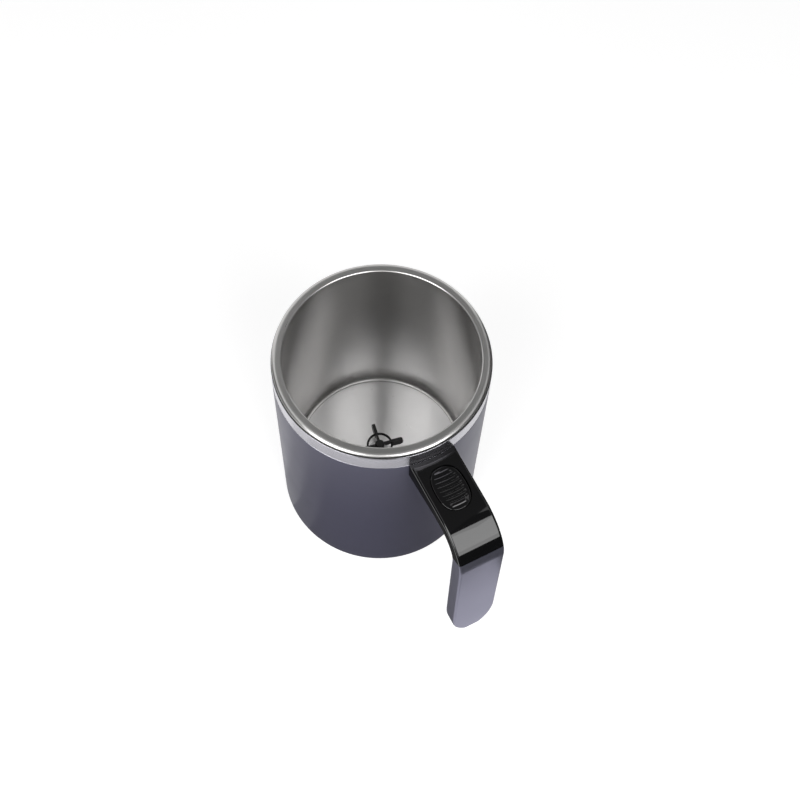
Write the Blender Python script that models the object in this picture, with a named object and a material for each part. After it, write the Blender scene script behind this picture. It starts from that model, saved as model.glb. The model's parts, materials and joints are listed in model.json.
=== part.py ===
"""Self-stirring mug: a double-walled steel mug with a press switch in its handle.

A small motor in the base turns a four-armed stirrer that stands on the mug's floor. The origin is
on the mug's axis, at the plane it stands on. +Z is up and the handle points along +X.
"""

import math

import bmesh
import bpy
from mathutils import Matrix, Vector

# Clearances
SEAT_GAP = 0.0003
RUNNING_GAP = 0.0001
FACE_STEP = 0.0002
CUT_OVERRUN = 0.004

# Mug body. Its radius, 42.5 mm, is what the two cells in its base need
BODY_HEIGHT = 0.1084
PAINT_DEPTH = 0.0001
BAND_HEIGHT = 0.0098
SHELL_WALL = 0.0006
SHELL_FOOT_HEIGHT = 0.0008
SHELL_FOOT_ROUND = 0.0012
SHELL_FOOT_LIP = 0.0023
CUP_WALL = 0.0006
RIM_INSET = 0.0005
RIM_WIDTH = 0.0038
RIM_OUTER_ROUND = 0.0009
RIM_INNER_ROUND = 0.0008
RIM_SKIRT = 0.0010
RIM_GROOVE = 0.0008
RIM_HOOK = 0.0006
FLOOR_FILLET_WIDTH = 0.0032
FLOOR_FILLET_HEIGHT = 0.0055

# Shaft, and its bush through the floor
SHAFT_RADIUS = 0.0010
BUSH_WALL = 0.0021
BUSH_FLANGE_REACH = 0.0020
BUSH_FLANGE_THICKNESS = 0.0010
BUSH_EDGE_ROUND = 0.0003
BUSH_LENGTH = 0.0048
BUSH_CLEARANCE = 0.0005
SEAL_WALL = 0.0012
SEAL_DEPTH = 0.0014
SEAL_STAND = 0.0002
GASKET_WIDTH = 0.0021
GASKET_THICKNESS = 0.0009
NUT_WALL = 0.0023
NUT_THICKNESS = 0.0020

# Stirrer
STIRRER_HEIGHT = 0.0070
STIRRER_ARMS = 4
STIRRER_ARM_ANGLE = math.radians(-10.5)
STIRRER_RADIUS = 0.0105
STIRRER_HUB_WALL = 0.0007
STIRRER_HUB_LIFT = 0.0004
STIRRER_HUB_DOME = 0.0006
STIRRER_RING_RADIUS = 0.0057
STIRRER_RING_WIDTH = 0.0009
STIRRER_RING_HEIGHT = 0.0016
STIRRER_SPOKE_WIDTH = 0.0010
STIRRER_SPOKE_HEIGHT = 0.0021
STIRRER_PADDLE_WIDTH = 0.0013
STIRRER_PADDLE_HEIGHT = 0.0044
STIRRER_PADDLE_ROUND = 0.0015
STIRRER_TOP_BORE_WALL = 0.0010

# Motor
MOTOR_RADIUS = 0.0122
MOTOR_HEIGHT = 0.0123
MOTOR_CLEARANCE = 0.0004
MOTOR_WALL = 0.0008
MOTOR_EDGE_ROUND = 0.0009
MOTOR_BOSS_WALL = 0.0019
MOTOR_BOSS_HEIGHT = 0.0010
MOTOR_CAP_THICKNESS = 0.0016
MOTOR_CAP_FLOOR = 0.0005
MOTOR_CAP_BEARING_WALL = 0.0011
MOTOR_CAP_BEARING_HEIGHT = 0.0004
MAGNET_THICKNESS = 0.0024
MAGNET_HEIGHT = 0.0080
MAGNET_ANGLE = math.radians(134.0)
AIR_GAP = 0.0006
ARMATURE_POLES = 3
ARMATURE_HEIGHT = 0.0056
ARMATURE_CORE_WALL = 0.0019
ARMATURE_NECK_WIDTH = 0.0030
ARMATURE_POLE_ANGLE = math.radians(92.0)
ARMATURE_POLE_THICKNESS = 0.0014
WINDING_WIDTH = 0.0056
WINDING_END = 0.0009
COMMUTATOR_WALL = 0.0011
COMMUTATOR_HEIGHT = 0.0012
MOTOR_LUG_WIDTH = 0.0020
MOTOR_LUG_THICKNESS = 0.0005
MOTOR_LUG_REACH = 0.0024
MOTOR_SCREW_MARGIN = 0.0037
MOTOR_SCREW_RADIUS = 0.0008
MOTOR_SCREW_HEAD_RADIUS = 0.0017
MOTOR_SCREW_HEAD_HEIGHT = 0.0009
MOTOR_SCREW_GRIP = 0.0011

# Base housing
HOUSING_WALL = 0.0014
HOUSING_PLATE = 0.0012
HOUSING_HOLE_MARGIN = 0.0008
HOUSING_COLLAR_WALL = 0.0008
HOUSING_COLLAR_HEIGHT = 0.0066
HOUSING_RIB = 0.0010
HOUSING_RIB_HEIGHT = 0.0100
HOUSING_END_WALL = 0.0014
HOUSING_STOP_WIDTH = 0.0012

# Batteries and their contacts
CELL_HEADROOM = 0.00095
CELL_FOOTROOM = 0.00155
CELL_SIDE_ROOM = 0.00045
CELL_CORNER_ROOM = 0.00223
CELL_LENGTH = 0.0445
CELL_NUB_RADIUS = 0.0019
CELL_NUB_LENGTH = 0.0009
CELL_EDGE_ROUND = 0.0005
CONTACT_WIDTH = 0.0070
CONTACT_HEIGHT = 0.0080
CONTACT_THICKNESS = 0.0004
SPRING_LENGTH = 0.0036
SPRING_WIRE_RADIUS = 0.0003
SPRING_LARGE_RADIUS = 0.0032
SPRING_SMALL_RADIUS = 0.0022
SPRING_TURNS = 3

# Bottom cover
COVER_BOTTOM = 0.0005
COVER_THICKNESS = 0.0023
COVER_EDGE_ROUND = 0.0004
COVER_EDGE_CLEARANCE = 0.0004
COVER_SKIRT_WALL = 0.0016
COVER_LUGS = 3
COVER_LUG_HEIGHT = 0.0012
COVER_LUG_ANGLE = math.radians(20.0)
COVER_TURN = math.radians(25.0)
LEDGE_CLEAR_ANGLE = math.radians(2.0)
LEDGE_HEIGHT = 0.0012
COVER_RIB_RADIUS = 0.0200
COVER_RIB_WALL = 0.0014
FINGER_RECESS_MARGIN = 0.0031
FINGER_RECESS_WIDTH = 0.0065
FINGER_RECESS_ANGLE = math.radians(50.0)
FINGER_RECESS_DEPTH = 0.0011
COVER_SEAL_WIDTH = 0.0006
COVER_SEAL_HEIGHT = 0.0011
PAD_MARGIN = 0.0128
PAD_THICKNESS = 0.0011
PAD_EDGE_ROUND = 0.0003

# Handle: the outer line runs level from the mug, round the shoulder and down the grip
HANDLE_DROP = 0.0088
HANDLE_WIDTH = 0.0190
HANDLE_DEPTH = 0.0080
HANDLE_SHOULDER_REACH = 0.0239
HANDLE_SHOULDER_RADIUS = 0.0172
HANDLE_LEAN = math.radians(1.8)
HANDLE_SEAM_ANGLE = math.radians(22.8)
HANDLE_OUTER_ROUND = 0.0011
HANDLE_INNER_ROUND = 0.0026
HANDLE_BOTTOM = 0.0136
ARM_ROOT_DEPTH = 0.0110
ARM_TAPER_REACH = 0.0195
TONGUE_LENGTH = 0.0170
TONGUE_EDGE_ROUND = 0.0018
ROOT_STEP_WIDTH = 0.0017
ROOT_STEP_DEPTH = 0.0005

# Inside of the handle
FRAME_TOP_WALL = 0.0016
FRAME_SIDE_WALL = 0.0020
FRAME_ROOT_WALL = 0.0030
SLEEVE_WALL = 0.0014
SPINE_ROUND = 0.0004
SLEEVE_INNER_WALL = 0.0022
SPINE_END_MARGIN = 0.0164
SPINE_ROOT_OVERLAP = math.radians(7.0)
GRIP_SCREW_MARGIN = 0.0180
GRIP_SCREW_RADIUS = 0.0010
GRIP_SCREW_HEAD_RADIUS = 0.0021
GRIP_SCREW_HEAD_HEIGHT = 0.0011
GRIP_SCREW_GRIP = 0.0024
UNDER_COVER_THICKNESS = 0.0011
UNDER_COVER_SEAT_WALL = 0.0006
UNDER_COVER_SEAT_RIM = 0.0008
UNDER_POST_RADIUS = 0.0010

# Screws that hold the handle to the shell, and its under cover
HANDLE_SCREW_MARGIN = 0.0033
HANDLE_SCREW_RADIUS = 0.0010
HANDLE_SCREW_HEAD_RADIUS = 0.0021
HANDLE_SCREW_HEAD_HEIGHT = 0.0013
HANDLE_SCREW_GRIP = 0.0048
HANDLE_BOSS_RADIUS = 0.0020
HANDLE_BOSS_END_WALL = 0.0007
BOSS_CLEARANCE = 0.0004
COVER_SCREW_RADIUS = 0.0008
COVER_SCREW_HEAD_RADIUS = 0.0016
COVER_SCREW_HEAD_HEIGHT = 0.0006
COVER_SCREW_GRIP = 0.0012
COVER_BOSS_RADIUS = 0.0020
COVER_BOSS_INSET = 0.0017

# Thumb switch
BUTTON_REACH = 0.0140
BUTTON_LENGTH = 0.0182
BUTTON_SIDE_MARGIN = 0.0032
BUTTON_END_MARGIN = 0.0012
BUTTON_CURVE_SHARE = 2.5
BUTTON_TRAVEL = 0.0015
BUTTON_CROWN_DROP = 0.0002
BUTTON_CAP = 0.0013
BUTTON_SKIRT_WALL = 0.0011
BUTTON_FLANGE_REACH = 0.0008
BUTTON_FLANGE_HEIGHT = 0.0008
BUTTON_EDGE_ROUND = 0.0004
BUTTON_RIBS = 8
BUTTON_RIB_PITCH = 0.00187
BUTTON_RIB_HALF_WIDTH = 0.00062
BUTTON_RIB_HEIGHT = 0.00022
BUTTON_RIB_BOW = 0.0007
BUTTON_RIB_MARGIN = 0.0011
BUTTON_STOP_HALF_WIDTH = 0.00075
BUTTON_STOP_HEIGHT = 0.00040
STEM_LENGTH = 0.0023
SWITCH_OFFSET = 0.0015
SWITCH_WALL = 0.0009
SWITCH_HEIGHT = 0.0027
SWITCH_BORE_DEPTH = 0.0024
SWITCH_REST_GAP = 0.0002
BOARD_LENGTH = 0.0105
BOARD_WIDTH = 0.0100
BOARD_THICKNESS = 0.0008
BUTTON_SPRING_ROOM = 0.0008
BUTTON_SPRING_WIRE_RADIUS = 0.0002
BUTTON_SPRING_TURNS = 3

# Wires between the switch and the motor
WIRE_RADIUS = 0.00045
WIRE_SLOT_MARGIN = 0.0002
WIRE_SLOT_WALL = 0.00135
WIRE_BASE_LIFT = 0.0016
WIRE_HOLE_INSET = 0.0101

# Facets
SEGMENTS_BODY = 44
SEGMENTS_LARGE = 32
SEGMENTS_MEDIUM = 24
SEGMENTS_SMALL = 16
SEGMENTS_TINY = 8
SEGMENTS_BUTTON = 28
NUT_SIDES = 6
SEAL_SIDES = 5
WIRE_SIDES = 6
SPRING_SIDES = 5
RIB_SIDES = 6
RIB_STEPS = 4
SECTOR_STEPS = 4
ARC_STEPS = 4
CORNER_STEPS = 3
HIDDEN_ARC_STEPS = 3
ROUTE_STEPS = 2
TURN_STEPS = 8
ROUND_WIDTH_SHARE = 0.9
ROUND_DEPTH_SHARE = 0.45
MERGE_DISTANCE = SEAT_GAP / 100
SHARP_ANGLE = math.radians(32.0)

# Levels of the base, from the standing plane up
HOUSING_BOTTOM = SHELL_FOOT_HEIGHT + SHELL_WALL + SEAT_GAP
COVER_INNER_FACE = COVER_BOTTOM + COVER_THICKNESS
COVER_SEAL_BOTTOM = COVER_INNER_FACE + SEAT_GAP
LEDGE_BOTTOM = COVER_SEAL_BOTTOM + COVER_SEAL_HEIGHT + SEAT_GAP
LEDGE_TOP = LEDGE_BOTTOM + LEDGE_HEIGHT
COVER_LUG_BOTTOM = LEDGE_TOP + SEAT_GAP
COVER_SKIRT_TOP = COVER_LUG_BOTTOM + COVER_LUG_HEIGHT + FACE_STEP
MOTOR_BOTTOM = COVER_INNER_FACE + MOTOR_CLEARANCE
MOTOR_TOP = MOTOR_BOTTOM + MOTOR_HEIGHT
MOTOR_CAP_TOP = MOTOR_BOTTOM + MOTOR_CAP_THICKNESS
MOTOR_BOSS_TOP = MOTOR_TOP + MOTOR_BOSS_HEIGHT
MAGNET_LOW = MOTOR_TOP - MOTOR_WALL - SEAT_GAP - MAGNET_HEIGHT
ARMATURE_CENTRE = MAGNET_LOW + MAGNET_HEIGHT / 2
SHAFT_BOTTOM = MOTOR_BOTTOM + MOTOR_CAP_FLOOR + SEAT_GAP
PLATE_BOTTOM = MOTOR_TOP + SEAT_GAP
PLATE_TOP = PLATE_BOTTOM + HOUSING_PLATE
BUSH_BOTTOM = MOTOR_BOSS_TOP + BUSH_CLEARANCE
FLANGE_BOTTOM = BUSH_BOTTOM + BUSH_LENGTH
FLANGE_TOP = FLANGE_BOTTOM + BUSH_FLANGE_THICKNESS
FLOOR_HEIGHT = FLANGE_BOTTOM - SEAT_GAP
FLOOR_UNDER = FLOOR_HEIGHT - CUP_WALL
HUB_BOTTOM = FLANGE_TOP + SEAL_STAND + SEAT_GAP
STIRRER_TOP = FLANGE_TOP + STIRRER_HEIGHT
HUB_TOP = STIRRER_TOP + STIRRER_HUB_LIFT

# The cells lie beside the motor, and their cradles set the body's radius. They are 10.5 mm thick
COLLAR_INNER = MOTOR_RADIUS + SEAT_GAP
CELL_RADIUS = (PLATE_BOTTOM - CELL_HEADROOM - COVER_INNER_FACE - CELL_FOOTROOM) / 2
CELL_CENTRE = PLATE_BOTTOM - CELL_HEADROOM - CELL_RADIUS
CELL_OFFSET = COLLAR_INNER + HOUSING_COLLAR_WALL + CELL_SIDE_ROOM + CELL_RADIUS
CELL_NUB_X = (CELL_LENGTH + CELL_NUB_LENGTH + SPRING_LENGTH) / 2
CELL_SPRING_X = CELL_NUB_X - CELL_NUB_LENGTH - CELL_LENGTH
PLATE_WALL_X = CELL_NUB_X + CONTACT_THICKNESS + 2 * SEAT_GAP
SPRING_WALL_X = CELL_SPRING_X - SPRING_LENGTH - 2 * SEAT_GAP
CRADLE_CORNER = math.hypot(PLATE_WALL_X + HOUSING_END_WALL, CELL_OFFSET + CONTACT_WIDTH / 2)
COVER_SKIRT_RADIUS = CRADLE_CORNER + CELL_CORNER_ROOM + COVER_SKIRT_WALL
COVER_RADIUS = COVER_SKIRT_RADIUS + COVER_SEAL_WIDTH + SEAT_GAP
SHELL_LIP_RADIUS = COVER_RADIUS + COVER_EDGE_CLEARANCE
BODY_RADIUS = SHELL_LIP_RADIUS + SHELL_FOOT_LIP

# Radii that follow from the sizes above
SHELL_OUTER = BODY_RADIUS - PAINT_DEPTH
SHELL_INNER = SHELL_OUTER - SHELL_WALL
RIM_RADIUS = BODY_RADIUS - RIM_INSET
OPENING_RADIUS = RIM_RADIUS - RIM_WIDTH
CUP_OUTER = OPENING_RADIUS + CUP_WALL
FLOOR_RADIUS = OPENING_RADIUS - FLOOR_FILLET_WIDTH
SHAFT_BORE = SHAFT_RADIUS + RUNNING_GAP
BUSH_RADIUS = SHAFT_BORE + BUSH_WALL
BUSH_FLANGE_RADIUS = BUSH_RADIUS + BUSH_FLANGE_REACH
SEAL_RADIUS = SHAFT_BORE + SEAL_WALL
GASKET_RADIUS = BUSH_RADIUS + SEAT_GAP + GASKET_WIDTH
NUT_RADIUS = BUSH_RADIUS + SEAT_GAP + NUT_WALL
MOTOR_INNER = MOTOR_RADIUS - MOTOR_WALL
MOTOR_SCREW_OFFSET = MOTOR_RADIUS - MOTOR_SCREW_MARGIN
MOTOR_BOSS_RADIUS = SHAFT_BORE + MOTOR_BOSS_WALL
PRESSED_BORE = SHAFT_RADIUS + SEAT_GAP
POLE_RADIUS = MOTOR_INNER - SEAT_GAP - MAGNET_THICKNESS - AIR_GAP
HOUSING_RADIUS = SHELL_INNER - SEAT_GAP
HOUSING_INNER = HOUSING_RADIUS - HOUSING_WALL
PAD_RADIUS = COVER_RADIUS - PAD_MARGIN
WIRE_HOLE_RADIUS = HOUSING_INNER - WIRE_HOLE_INSET

# Places along the handle
ROOT_RADIUS = BODY_RADIUS + SEAT_GAP
HANDLE_TOP = BODY_HEIGHT - HANDLE_DROP
HANDLE_SHOULDER_X = BODY_RADIUS + HANDLE_SHOULDER_REACH
SHOULDER_CENTRE_Z = HANDLE_TOP - HANDLE_SHOULDER_RADIUS
SHOULDER_SWEEP = math.pi / 2 - HANDLE_LEAN
SPINE_END = HANDLE_BOTTOM + SPINE_END_MARGIN
GRIP_SCREW_LEVEL = SPINE_END + GRIP_SCREW_MARGIN
BUTTON_X = BODY_RADIUS + BUTTON_REACH
BUTTON_WIDTH = HANDLE_WIDTH - 2 * BUTTON_SIDE_MARGIN
BUTTON_SPRING_OUTER = BUTTON_WIDTH / 2 - BUTTON_SKIRT_WALL - BUTTON_SPRING_ROOM
BUTTON_SPRING_RADIUS = BUTTON_SPRING_OUTER - BUTTON_SPRING_WIRE_RADIUS
SWITCH_CORNER_RADIUS = BUTTON_SPRING_RADIUS - BUTTON_SPRING_WIRE_RADIUS - SEAT_GAP
SWITCH_SIZE = math.sqrt(2) * SWITCH_CORNER_RADIUS
STEM_RADIUS = SWITCH_SIZE / 2 - SWITCH_WALL - SEAT_GAP
BUTTON_TOP = HANDLE_TOP - BUTTON_CROWN_DROP
BUTTON_FLANGE_TOP = HANDLE_TOP - FRAME_TOP_WALL - SEAT_GAP
BUTTON_SKIRT_LOW = BUTTON_FLANGE_TOP - BUTTON_FLANGE_HEIGHT
STEM_LOW = BUTTON_TOP - BUTTON_CAP - STEM_LENGTH
FRAME_POCKET_START = ROOT_RADIUS + FRAME_ROOT_WALL
FRAME_POCKET_END = BUTTON_X + BUTTON_LENGTH / 2 + BUTTON_FLANGE_REACH + BUTTON_END_MARGIN
BOSS_TOP = BUTTON_SKIRT_LOW - BUTTON_TRAVEL - BOSS_CLEARANCE
HANDLE_SCREW_LEVEL = BOSS_TOP - HANDLE_BOSS_RADIUS
HANDLE_SCREW_OFFSET = HANDLE_WIDTH / 2 - HANDLE_SCREW_MARGIN
HANDLE_SCREW_END = ROOT_RADIUS + HANDLE_SCREW_GRIP
WIRE_SLOT_HALF = HANDLE_SCREW_OFFSET - HANDLE_SCREW_RADIUS - SEAT_GAP - WIRE_SLOT_WALL
WIRE_SPACING = 2 * (WIRE_SLOT_HALF - WIRE_SLOT_MARGIN - WIRE_RADIUS)
COVER_SCREW_NEAR_X = FRAME_POCKET_START + COVER_BOSS_INSET
COVER_SCREW_FAR_X = FRAME_POCKET_END - COVER_BOSS_INSET
SWITCH_X = BUTTON_X - SWITCH_OFFSET
SWITCH_TOP = STEM_LOW - BUTTON_TRAVEL - SWITCH_REST_GAP + SWITCH_BORE_DEPTH
SWITCH_BOTTOM = SWITCH_TOP - SWITCH_HEIGHT
BOARD_TOP = SWITCH_BOTTOM - SEAT_GAP
BOARD_START = SWITCH_X - BOARD_LENGTH / 2
WIRE_LEVEL = BOARD_TOP - BOARD_THICKNESS / 2
WIRE_BASE_LEVEL = PLATE_TOP + WIRE_BASE_LIFT


# Materials

def make_material(name, colour, roughness, metallic):
    material = bpy.data.materials.new(name)
    material.use_nodes = True
    shader = material.node_tree.nodes["Principled BSDF"]
    shader.inputs["Base Color"].default_value = (*colour, 1.0)
    shader.inputs["Roughness"].default_value = roughness
    shader.inputs["Metallic"].default_value = metallic
    return material


def make_materials():
    return {
        "brushed_steel": make_material("brushed_steel", (0.62, 0.61, 0.62), 0.30, 1.0),
        "painted_steel": make_material("painted_steel", (0.10, 0.10, 0.13), 0.38, 0.6),
        "painted_plastic": make_material("painted_plastic", (0.26, 0.26, 0.31), 0.35, 0.5),
        "black_gloss": make_material("black_gloss", (0.010, 0.010, 0.012), 0.12, 0.0),
        "black_plastic": make_material("black_plastic", (0.018, 0.018, 0.018), 0.45, 0.0),
        "rubber": make_material("rubber", (0.03, 0.03, 0.03), 0.75, 0.0),
        "plain_steel": make_material("plain_steel", (0.55, 0.55, 0.56), 0.35, 1.0),
        "brass": make_material("brass", (0.72, 0.52, 0.22), 0.30, 1.0),
        "copper": make_material("copper", (0.65, 0.28, 0.14), 0.40, 1.0),
        "magnet": make_material("magnet", (0.06, 0.06, 0.065), 0.60, 0.2),
        "board": make_material("board", (0.03, 0.16, 0.07), 0.50, 0.0),
        "cell_jacket": make_material("cell_jacket", (0.35, 0.36, 0.38), 0.35, 0.3),
        "red_wire": make_material("red_wire", (0.45, 0.02, 0.02), 0.45, 0.0),
        "black_wire": make_material("black_wire", (0.02, 0.02, 0.02), 0.45, 0.0),
    }


# Mesh helpers

def finish_mesh(name, mesh_data, material, place=Matrix.Identity(4)):
    """Make a smooth shaded object of a closed bmesh, and put it in its place."""
    bmesh.ops.recalc_face_normals(mesh_data, faces=mesh_data.faces)
    if mesh_data.calc_volume(signed=True) < 0:
        bmesh.ops.reverse_faces(mesh_data, faces=mesh_data.faces)
    mesh = bpy.data.meshes.new(name)
    mesh_data.to_mesh(mesh)
    mesh_data.free()
    mesh.shade_smooth()
    mesh.set_sharp_from_angle(angle=SHARP_ANGLE)
    if material is not None:
        mesh.materials.append(material)
    item = bpy.data.objects.new(name, mesh)
    bpy.context.collection.objects.link(item)
    item.matrix_world = place
    return item


def turned(profile, segments, closed=True):
    """Turn a profile of (radius, height) points about Z. An open profile ends on the axis."""
    mesh_data = bmesh.new()
    corners = [mesh_data.verts.new((radius, 0, height)) for radius, height in profile]
    pairs = list(zip(corners, corners[1:]))
    if closed:
        pairs.append((corners[-1], corners[0]))
    edges = [mesh_data.edges.new(pair) for pair in pairs]
    bmesh.ops.spin(
        mesh_data,
        geom=corners + edges,
        cent=(0, 0, 0),
        axis=(0, 0, 1),
        angle=math.tau,
        steps=segments,
        use_merge=True,
    )
    bmesh.ops.remove_doubles(mesh_data, verts=mesh_data.verts, dist=MERGE_DISTANCE)
    return mesh_data


def lofted(rings):
    """Skin equal rings of points in order, and cap both ends."""
    mesh_data = bmesh.new()
    loops = [[mesh_data.verts.new(point) for point in ring] for ring in rings]
    count = len(loops[0])
    for near, far in zip(loops, loops[1:]):
        for index in range(count):
            follow = (index + 1) % count
            mesh_data.faces.new((near[index], near[follow], far[follow], far[index]))
    mesh_data.faces.new(loops[0])
    mesh_data.faces.new(loops[-1])
    return mesh_data


def prism(outline, low, high):
    """Extrude an outline of (x, y) points from one height to another."""
    return lofted([[(x, y, level) for x, y in outline] for level in (low, high)])


def side_prism(outline, width):
    """Extrude an outline of (x, z) points evenly to both sides of the XZ plane."""
    return lofted([[(x, side, z) for x, z in outline] for side in (-width / 2, width / 2)])


def cuboid(low, high):
    outline = [(low[0], low[1]), (high[0], low[1]), (high[0], high[1]), (low[0], high[1])]
    return prism(outline, low[2], high[2])


def circle(radius, segments, centre=(0, 0)):
    angles = [math.tau * step / segments for step in range(segments)]
    return [(centre[0] + radius * math.cos(a), centre[1] + radius * math.sin(a)) for a in angles]


def disc(radius, low, high, segments, centre=(0, 0)):
    return prism(circle(radius, segments, centre), low, high)


def sector(inner, outer, start, end, low, high, steps):
    """A part of a ring between two radii, two angles and two heights."""
    angles = [start + (end - start) * step / steps for step in range(steps + 1)]
    outline = [(outer * math.cos(a), outer * math.sin(a)) for a in angles]
    outline += [(inner * math.cos(a), inner * math.sin(a)) for a in reversed(angles)]
    return prism(outline, low, high)


def rod_along_x(radius, start, end, y, z, segments):
    mesh_data = disc(radius, start, end, segments)
    turn = Matrix.Rotation(math.pi / 2, 4, "Y")
    mesh_data.transform(Matrix.Translation((0, y, z)) @ turn)
    return mesh_data


def arc(centre, radii, start, end, steps):
    """Points (u, v) of an elliptical arc, both ends included."""
    angles = [start + (end - start) * step / steps for step in range(steps + 1)]
    return [(centre[0] + radii[0] * math.cos(a), centre[1] + radii[1] * math.sin(a)) for a in angles]


def tube_along(points, radius, sides):
    """A round tube through the points, with square ends."""
    mesh_data = bmesh.new()
    spots = [Vector(point) for point in points]
    side = None
    loops = []
    for index, spot in enumerate(spots):
        before = spots[max(index - 1, 0)]
        after = spots[min(index + 1, len(spots) - 1)]
        along = (after - before).normalized()
        if side is None:
            side = along.orthogonal()
        side = (side - along * side.dot(along)).normalized()
        across = along.cross(side)
        loop = []
        for step in range(sides):
            angle = math.tau * step / sides
            offset = side * math.cos(angle) + across * math.sin(angle)
            loop.append(mesh_data.verts.new(spot + radius * offset))
        loops.append(loop)
    for near, far in zip(loops, loops[1:]):
        for index in range(sides):
            follow = (index + 1) % sides
            mesh_data.faces.new((near[index], near[follow], far[follow], far[index]))
    mesh_data.faces.new(loops[0])
    mesh_data.faces.new(loops[-1])
    return mesh_data


def smooth_route(points, steps):
    """Points of a smooth curve through the given points."""
    spots = [Vector(point) for point in points]
    spots = [spots[0] + (spots[0] - spots[1])] + spots + [spots[-1] + (spots[-1] - spots[-2])]
    route = []
    for index in range(1, len(spots) - 2):
        a, b, c, d = spots[index - 1:index + 3]
        for step in range(steps):
            t = step / steps
            route.append(
                0.5 * (2 * b + (c - a) * t + (2 * a - 5 * b + 4 * c - d) * t ** 2
                       + (3 * b - a - 3 * c + d) * t ** 3)
            )
    route.append(spots[-2])
    return route


def helix(radius_low, radius_high, low, high, turns):
    """Points of a coil about Z that rises at an even rate."""
    count = TURN_STEPS * turns
    points = []
    for step in range(count + 1):
        share = step / count
        angle = math.tau * turns * share
        radius = radius_low + (radius_high - radius_low) * share
        height = low + (high - low) * share
        points.append((radius * math.cos(angle), radius * math.sin(angle), height))
    return points


def combine(target, operation, name, mesh_data):
    """Join a shape in the target's own coordinates to it, or cut it away, with a Boolean."""
    tool = finish_mesh(name, mesh_data, None, target.matrix_world)
    tool.hide_render = True
    tool.display_type = "WIRE"
    modifier = target.modifiers.new(name, "BOOLEAN")
    modifier.operation = operation
    modifier.solver = "EXACT"
    modifier.object = tool


def join(target, name, mesh_data):
    combine(target, "UNION", target.name + "_with_" + name, mesh_data)


def cut(target, name, mesh_data):
    combine(target, "DIFFERENCE", target.name + "_cut_" + name, mesh_data)


# Mug body

def make_inner_cup(materials):
    """The drawn steel cup, with its floor, its rolled rim and the hole for the shaft bush."""
    top = BODY_HEIGHT
    hole = BUSH_RADIUS + SEAT_GAP
    fillet_reach = OPENING_RADIUS - FLOOR_RADIUS
    fillet_centre = (FLOOR_RADIUS, FLOOR_HEIGHT + FLOOR_FILLET_HEIGHT)
    inner_fillet = arc(
        fillet_centre, (fillet_reach, FLOOR_FILLET_HEIGHT), -math.pi / 2, 0, ARC_STEPS)
    outer_fillet = arc(
        fillet_centre,
        (fillet_reach + CUP_WALL, FLOOR_FILLET_HEIGHT + CUP_WALL),
        0, -math.pi / 2, HIDDEN_ARC_STEPS)
    lip = (OPENING_RADIUS + RIM_INNER_ROUND, top - RIM_INNER_ROUND)
    edge = (RIM_RADIUS - RIM_OUTER_ROUND, top - RIM_OUTER_ROUND)
    profile = [(hole, FLOOR_HEIGHT)]
    profile += inner_fillet
    profile += arc(lip, (RIM_INNER_ROUND, RIM_INNER_ROUND), math.pi, math.pi / 2, CORNER_STEPS)
    profile += arc(edge, (RIM_OUTER_ROUND, RIM_OUTER_ROUND), math.pi / 2, 0, CORNER_STEPS)
    profile += [
        (RIM_RADIUS, top - RIM_SKIRT),
        (RIM_RADIUS - RIM_HOOK, top - RIM_SKIRT),
        (RIM_RADIUS - RIM_HOOK, top - CUP_WALL),
        (lip[0], top - CUP_WALL),
        (CUP_OUTER, top - CUP_WALL - RIM_INNER_ROUND),
    ]
    profile += outer_fillet
    profile.append((hole, FLOOR_UNDER))
    return finish_mesh("inner_cup", turned(profile, SEGMENTS_BODY), materials["brushed_steel"])


def make_outer_shell(materials):
    """The outer tube: a neck tucked under the rim, a bare band, the painted wall, a turned foot."""
    top = BODY_HEIGHT
    neck_outer = RIM_RADIUS - RIM_HOOK - SEAT_GAP
    neck_inner = neck_outer - SHELL_WALL
    neck_top = top - CUP_WALL - SEAT_GAP
    shoulder = top - RIM_SKIRT - RIM_GROOVE
    foot_centre = (BODY_RADIUS - SHELL_FOOT_ROUND, SHELL_FOOT_HEIGHT + SHELL_FOOT_ROUND)
    profile = [
        (neck_outer, neck_top),
        (neck_outer, shoulder),
        (SHELL_OUTER, shoulder),
        (SHELL_OUTER, top - BAND_HEIGHT),
        (BODY_RADIUS, top - BAND_HEIGHT - PAINT_DEPTH),
    ]
    profile += arc(
        foot_centre, (SHELL_FOOT_ROUND, SHELL_FOOT_ROUND), 0, -math.pi / 2, CORNER_STEPS)
    profile += [
        (SHELL_LIP_RADIUS, SHELL_FOOT_HEIGHT),
        (SHELL_LIP_RADIUS, SHELL_FOOT_HEIGHT + SHELL_WALL),
        (foot_centre[0], SHELL_FOOT_HEIGHT + SHELL_WALL),
        (SHELL_INNER, foot_centre[1]),
        (SHELL_INNER, shoulder - SHELL_WALL),
        (neck_inner, shoulder - SHELL_WALL),
        (neck_inner, neck_top),
    ]
    shell = finish_mesh("outer_shell", turned(profile, SEGMENTS_BODY), materials["painted_steel"])
    for side in (-1, 1):
        hole = rod_along_x(
            HANDLE_SCREW_RADIUS + SEAT_GAP, SHELL_INNER - CUT_OVERRUN, BODY_RADIUS + CUT_OVERRUN,
            side * HANDLE_SCREW_OFFSET, HANDLE_SCREW_LEVEL, SEGMENTS_TINY)
        cut(shell, "screw_hole", hole)
    cut(shell, "wire_slot", wire_slot(SHELL_INNER - CUT_OVERRUN, BODY_RADIUS + CUT_OVERRUN))
    return shell


def wire_slot(start, end):
    """The slot that lets the switch wires through, from one x to another."""
    half_height = WIRE_RADIUS + SEAT_GAP + WIRE_SLOT_MARGIN
    return cuboid(
        (start, -WIRE_SLOT_HALF, WIRE_LEVEL - half_height),
        (end, WIRE_SLOT_HALF, WIRE_LEVEL + half_height))


# Shaft passage and stirrer

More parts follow.
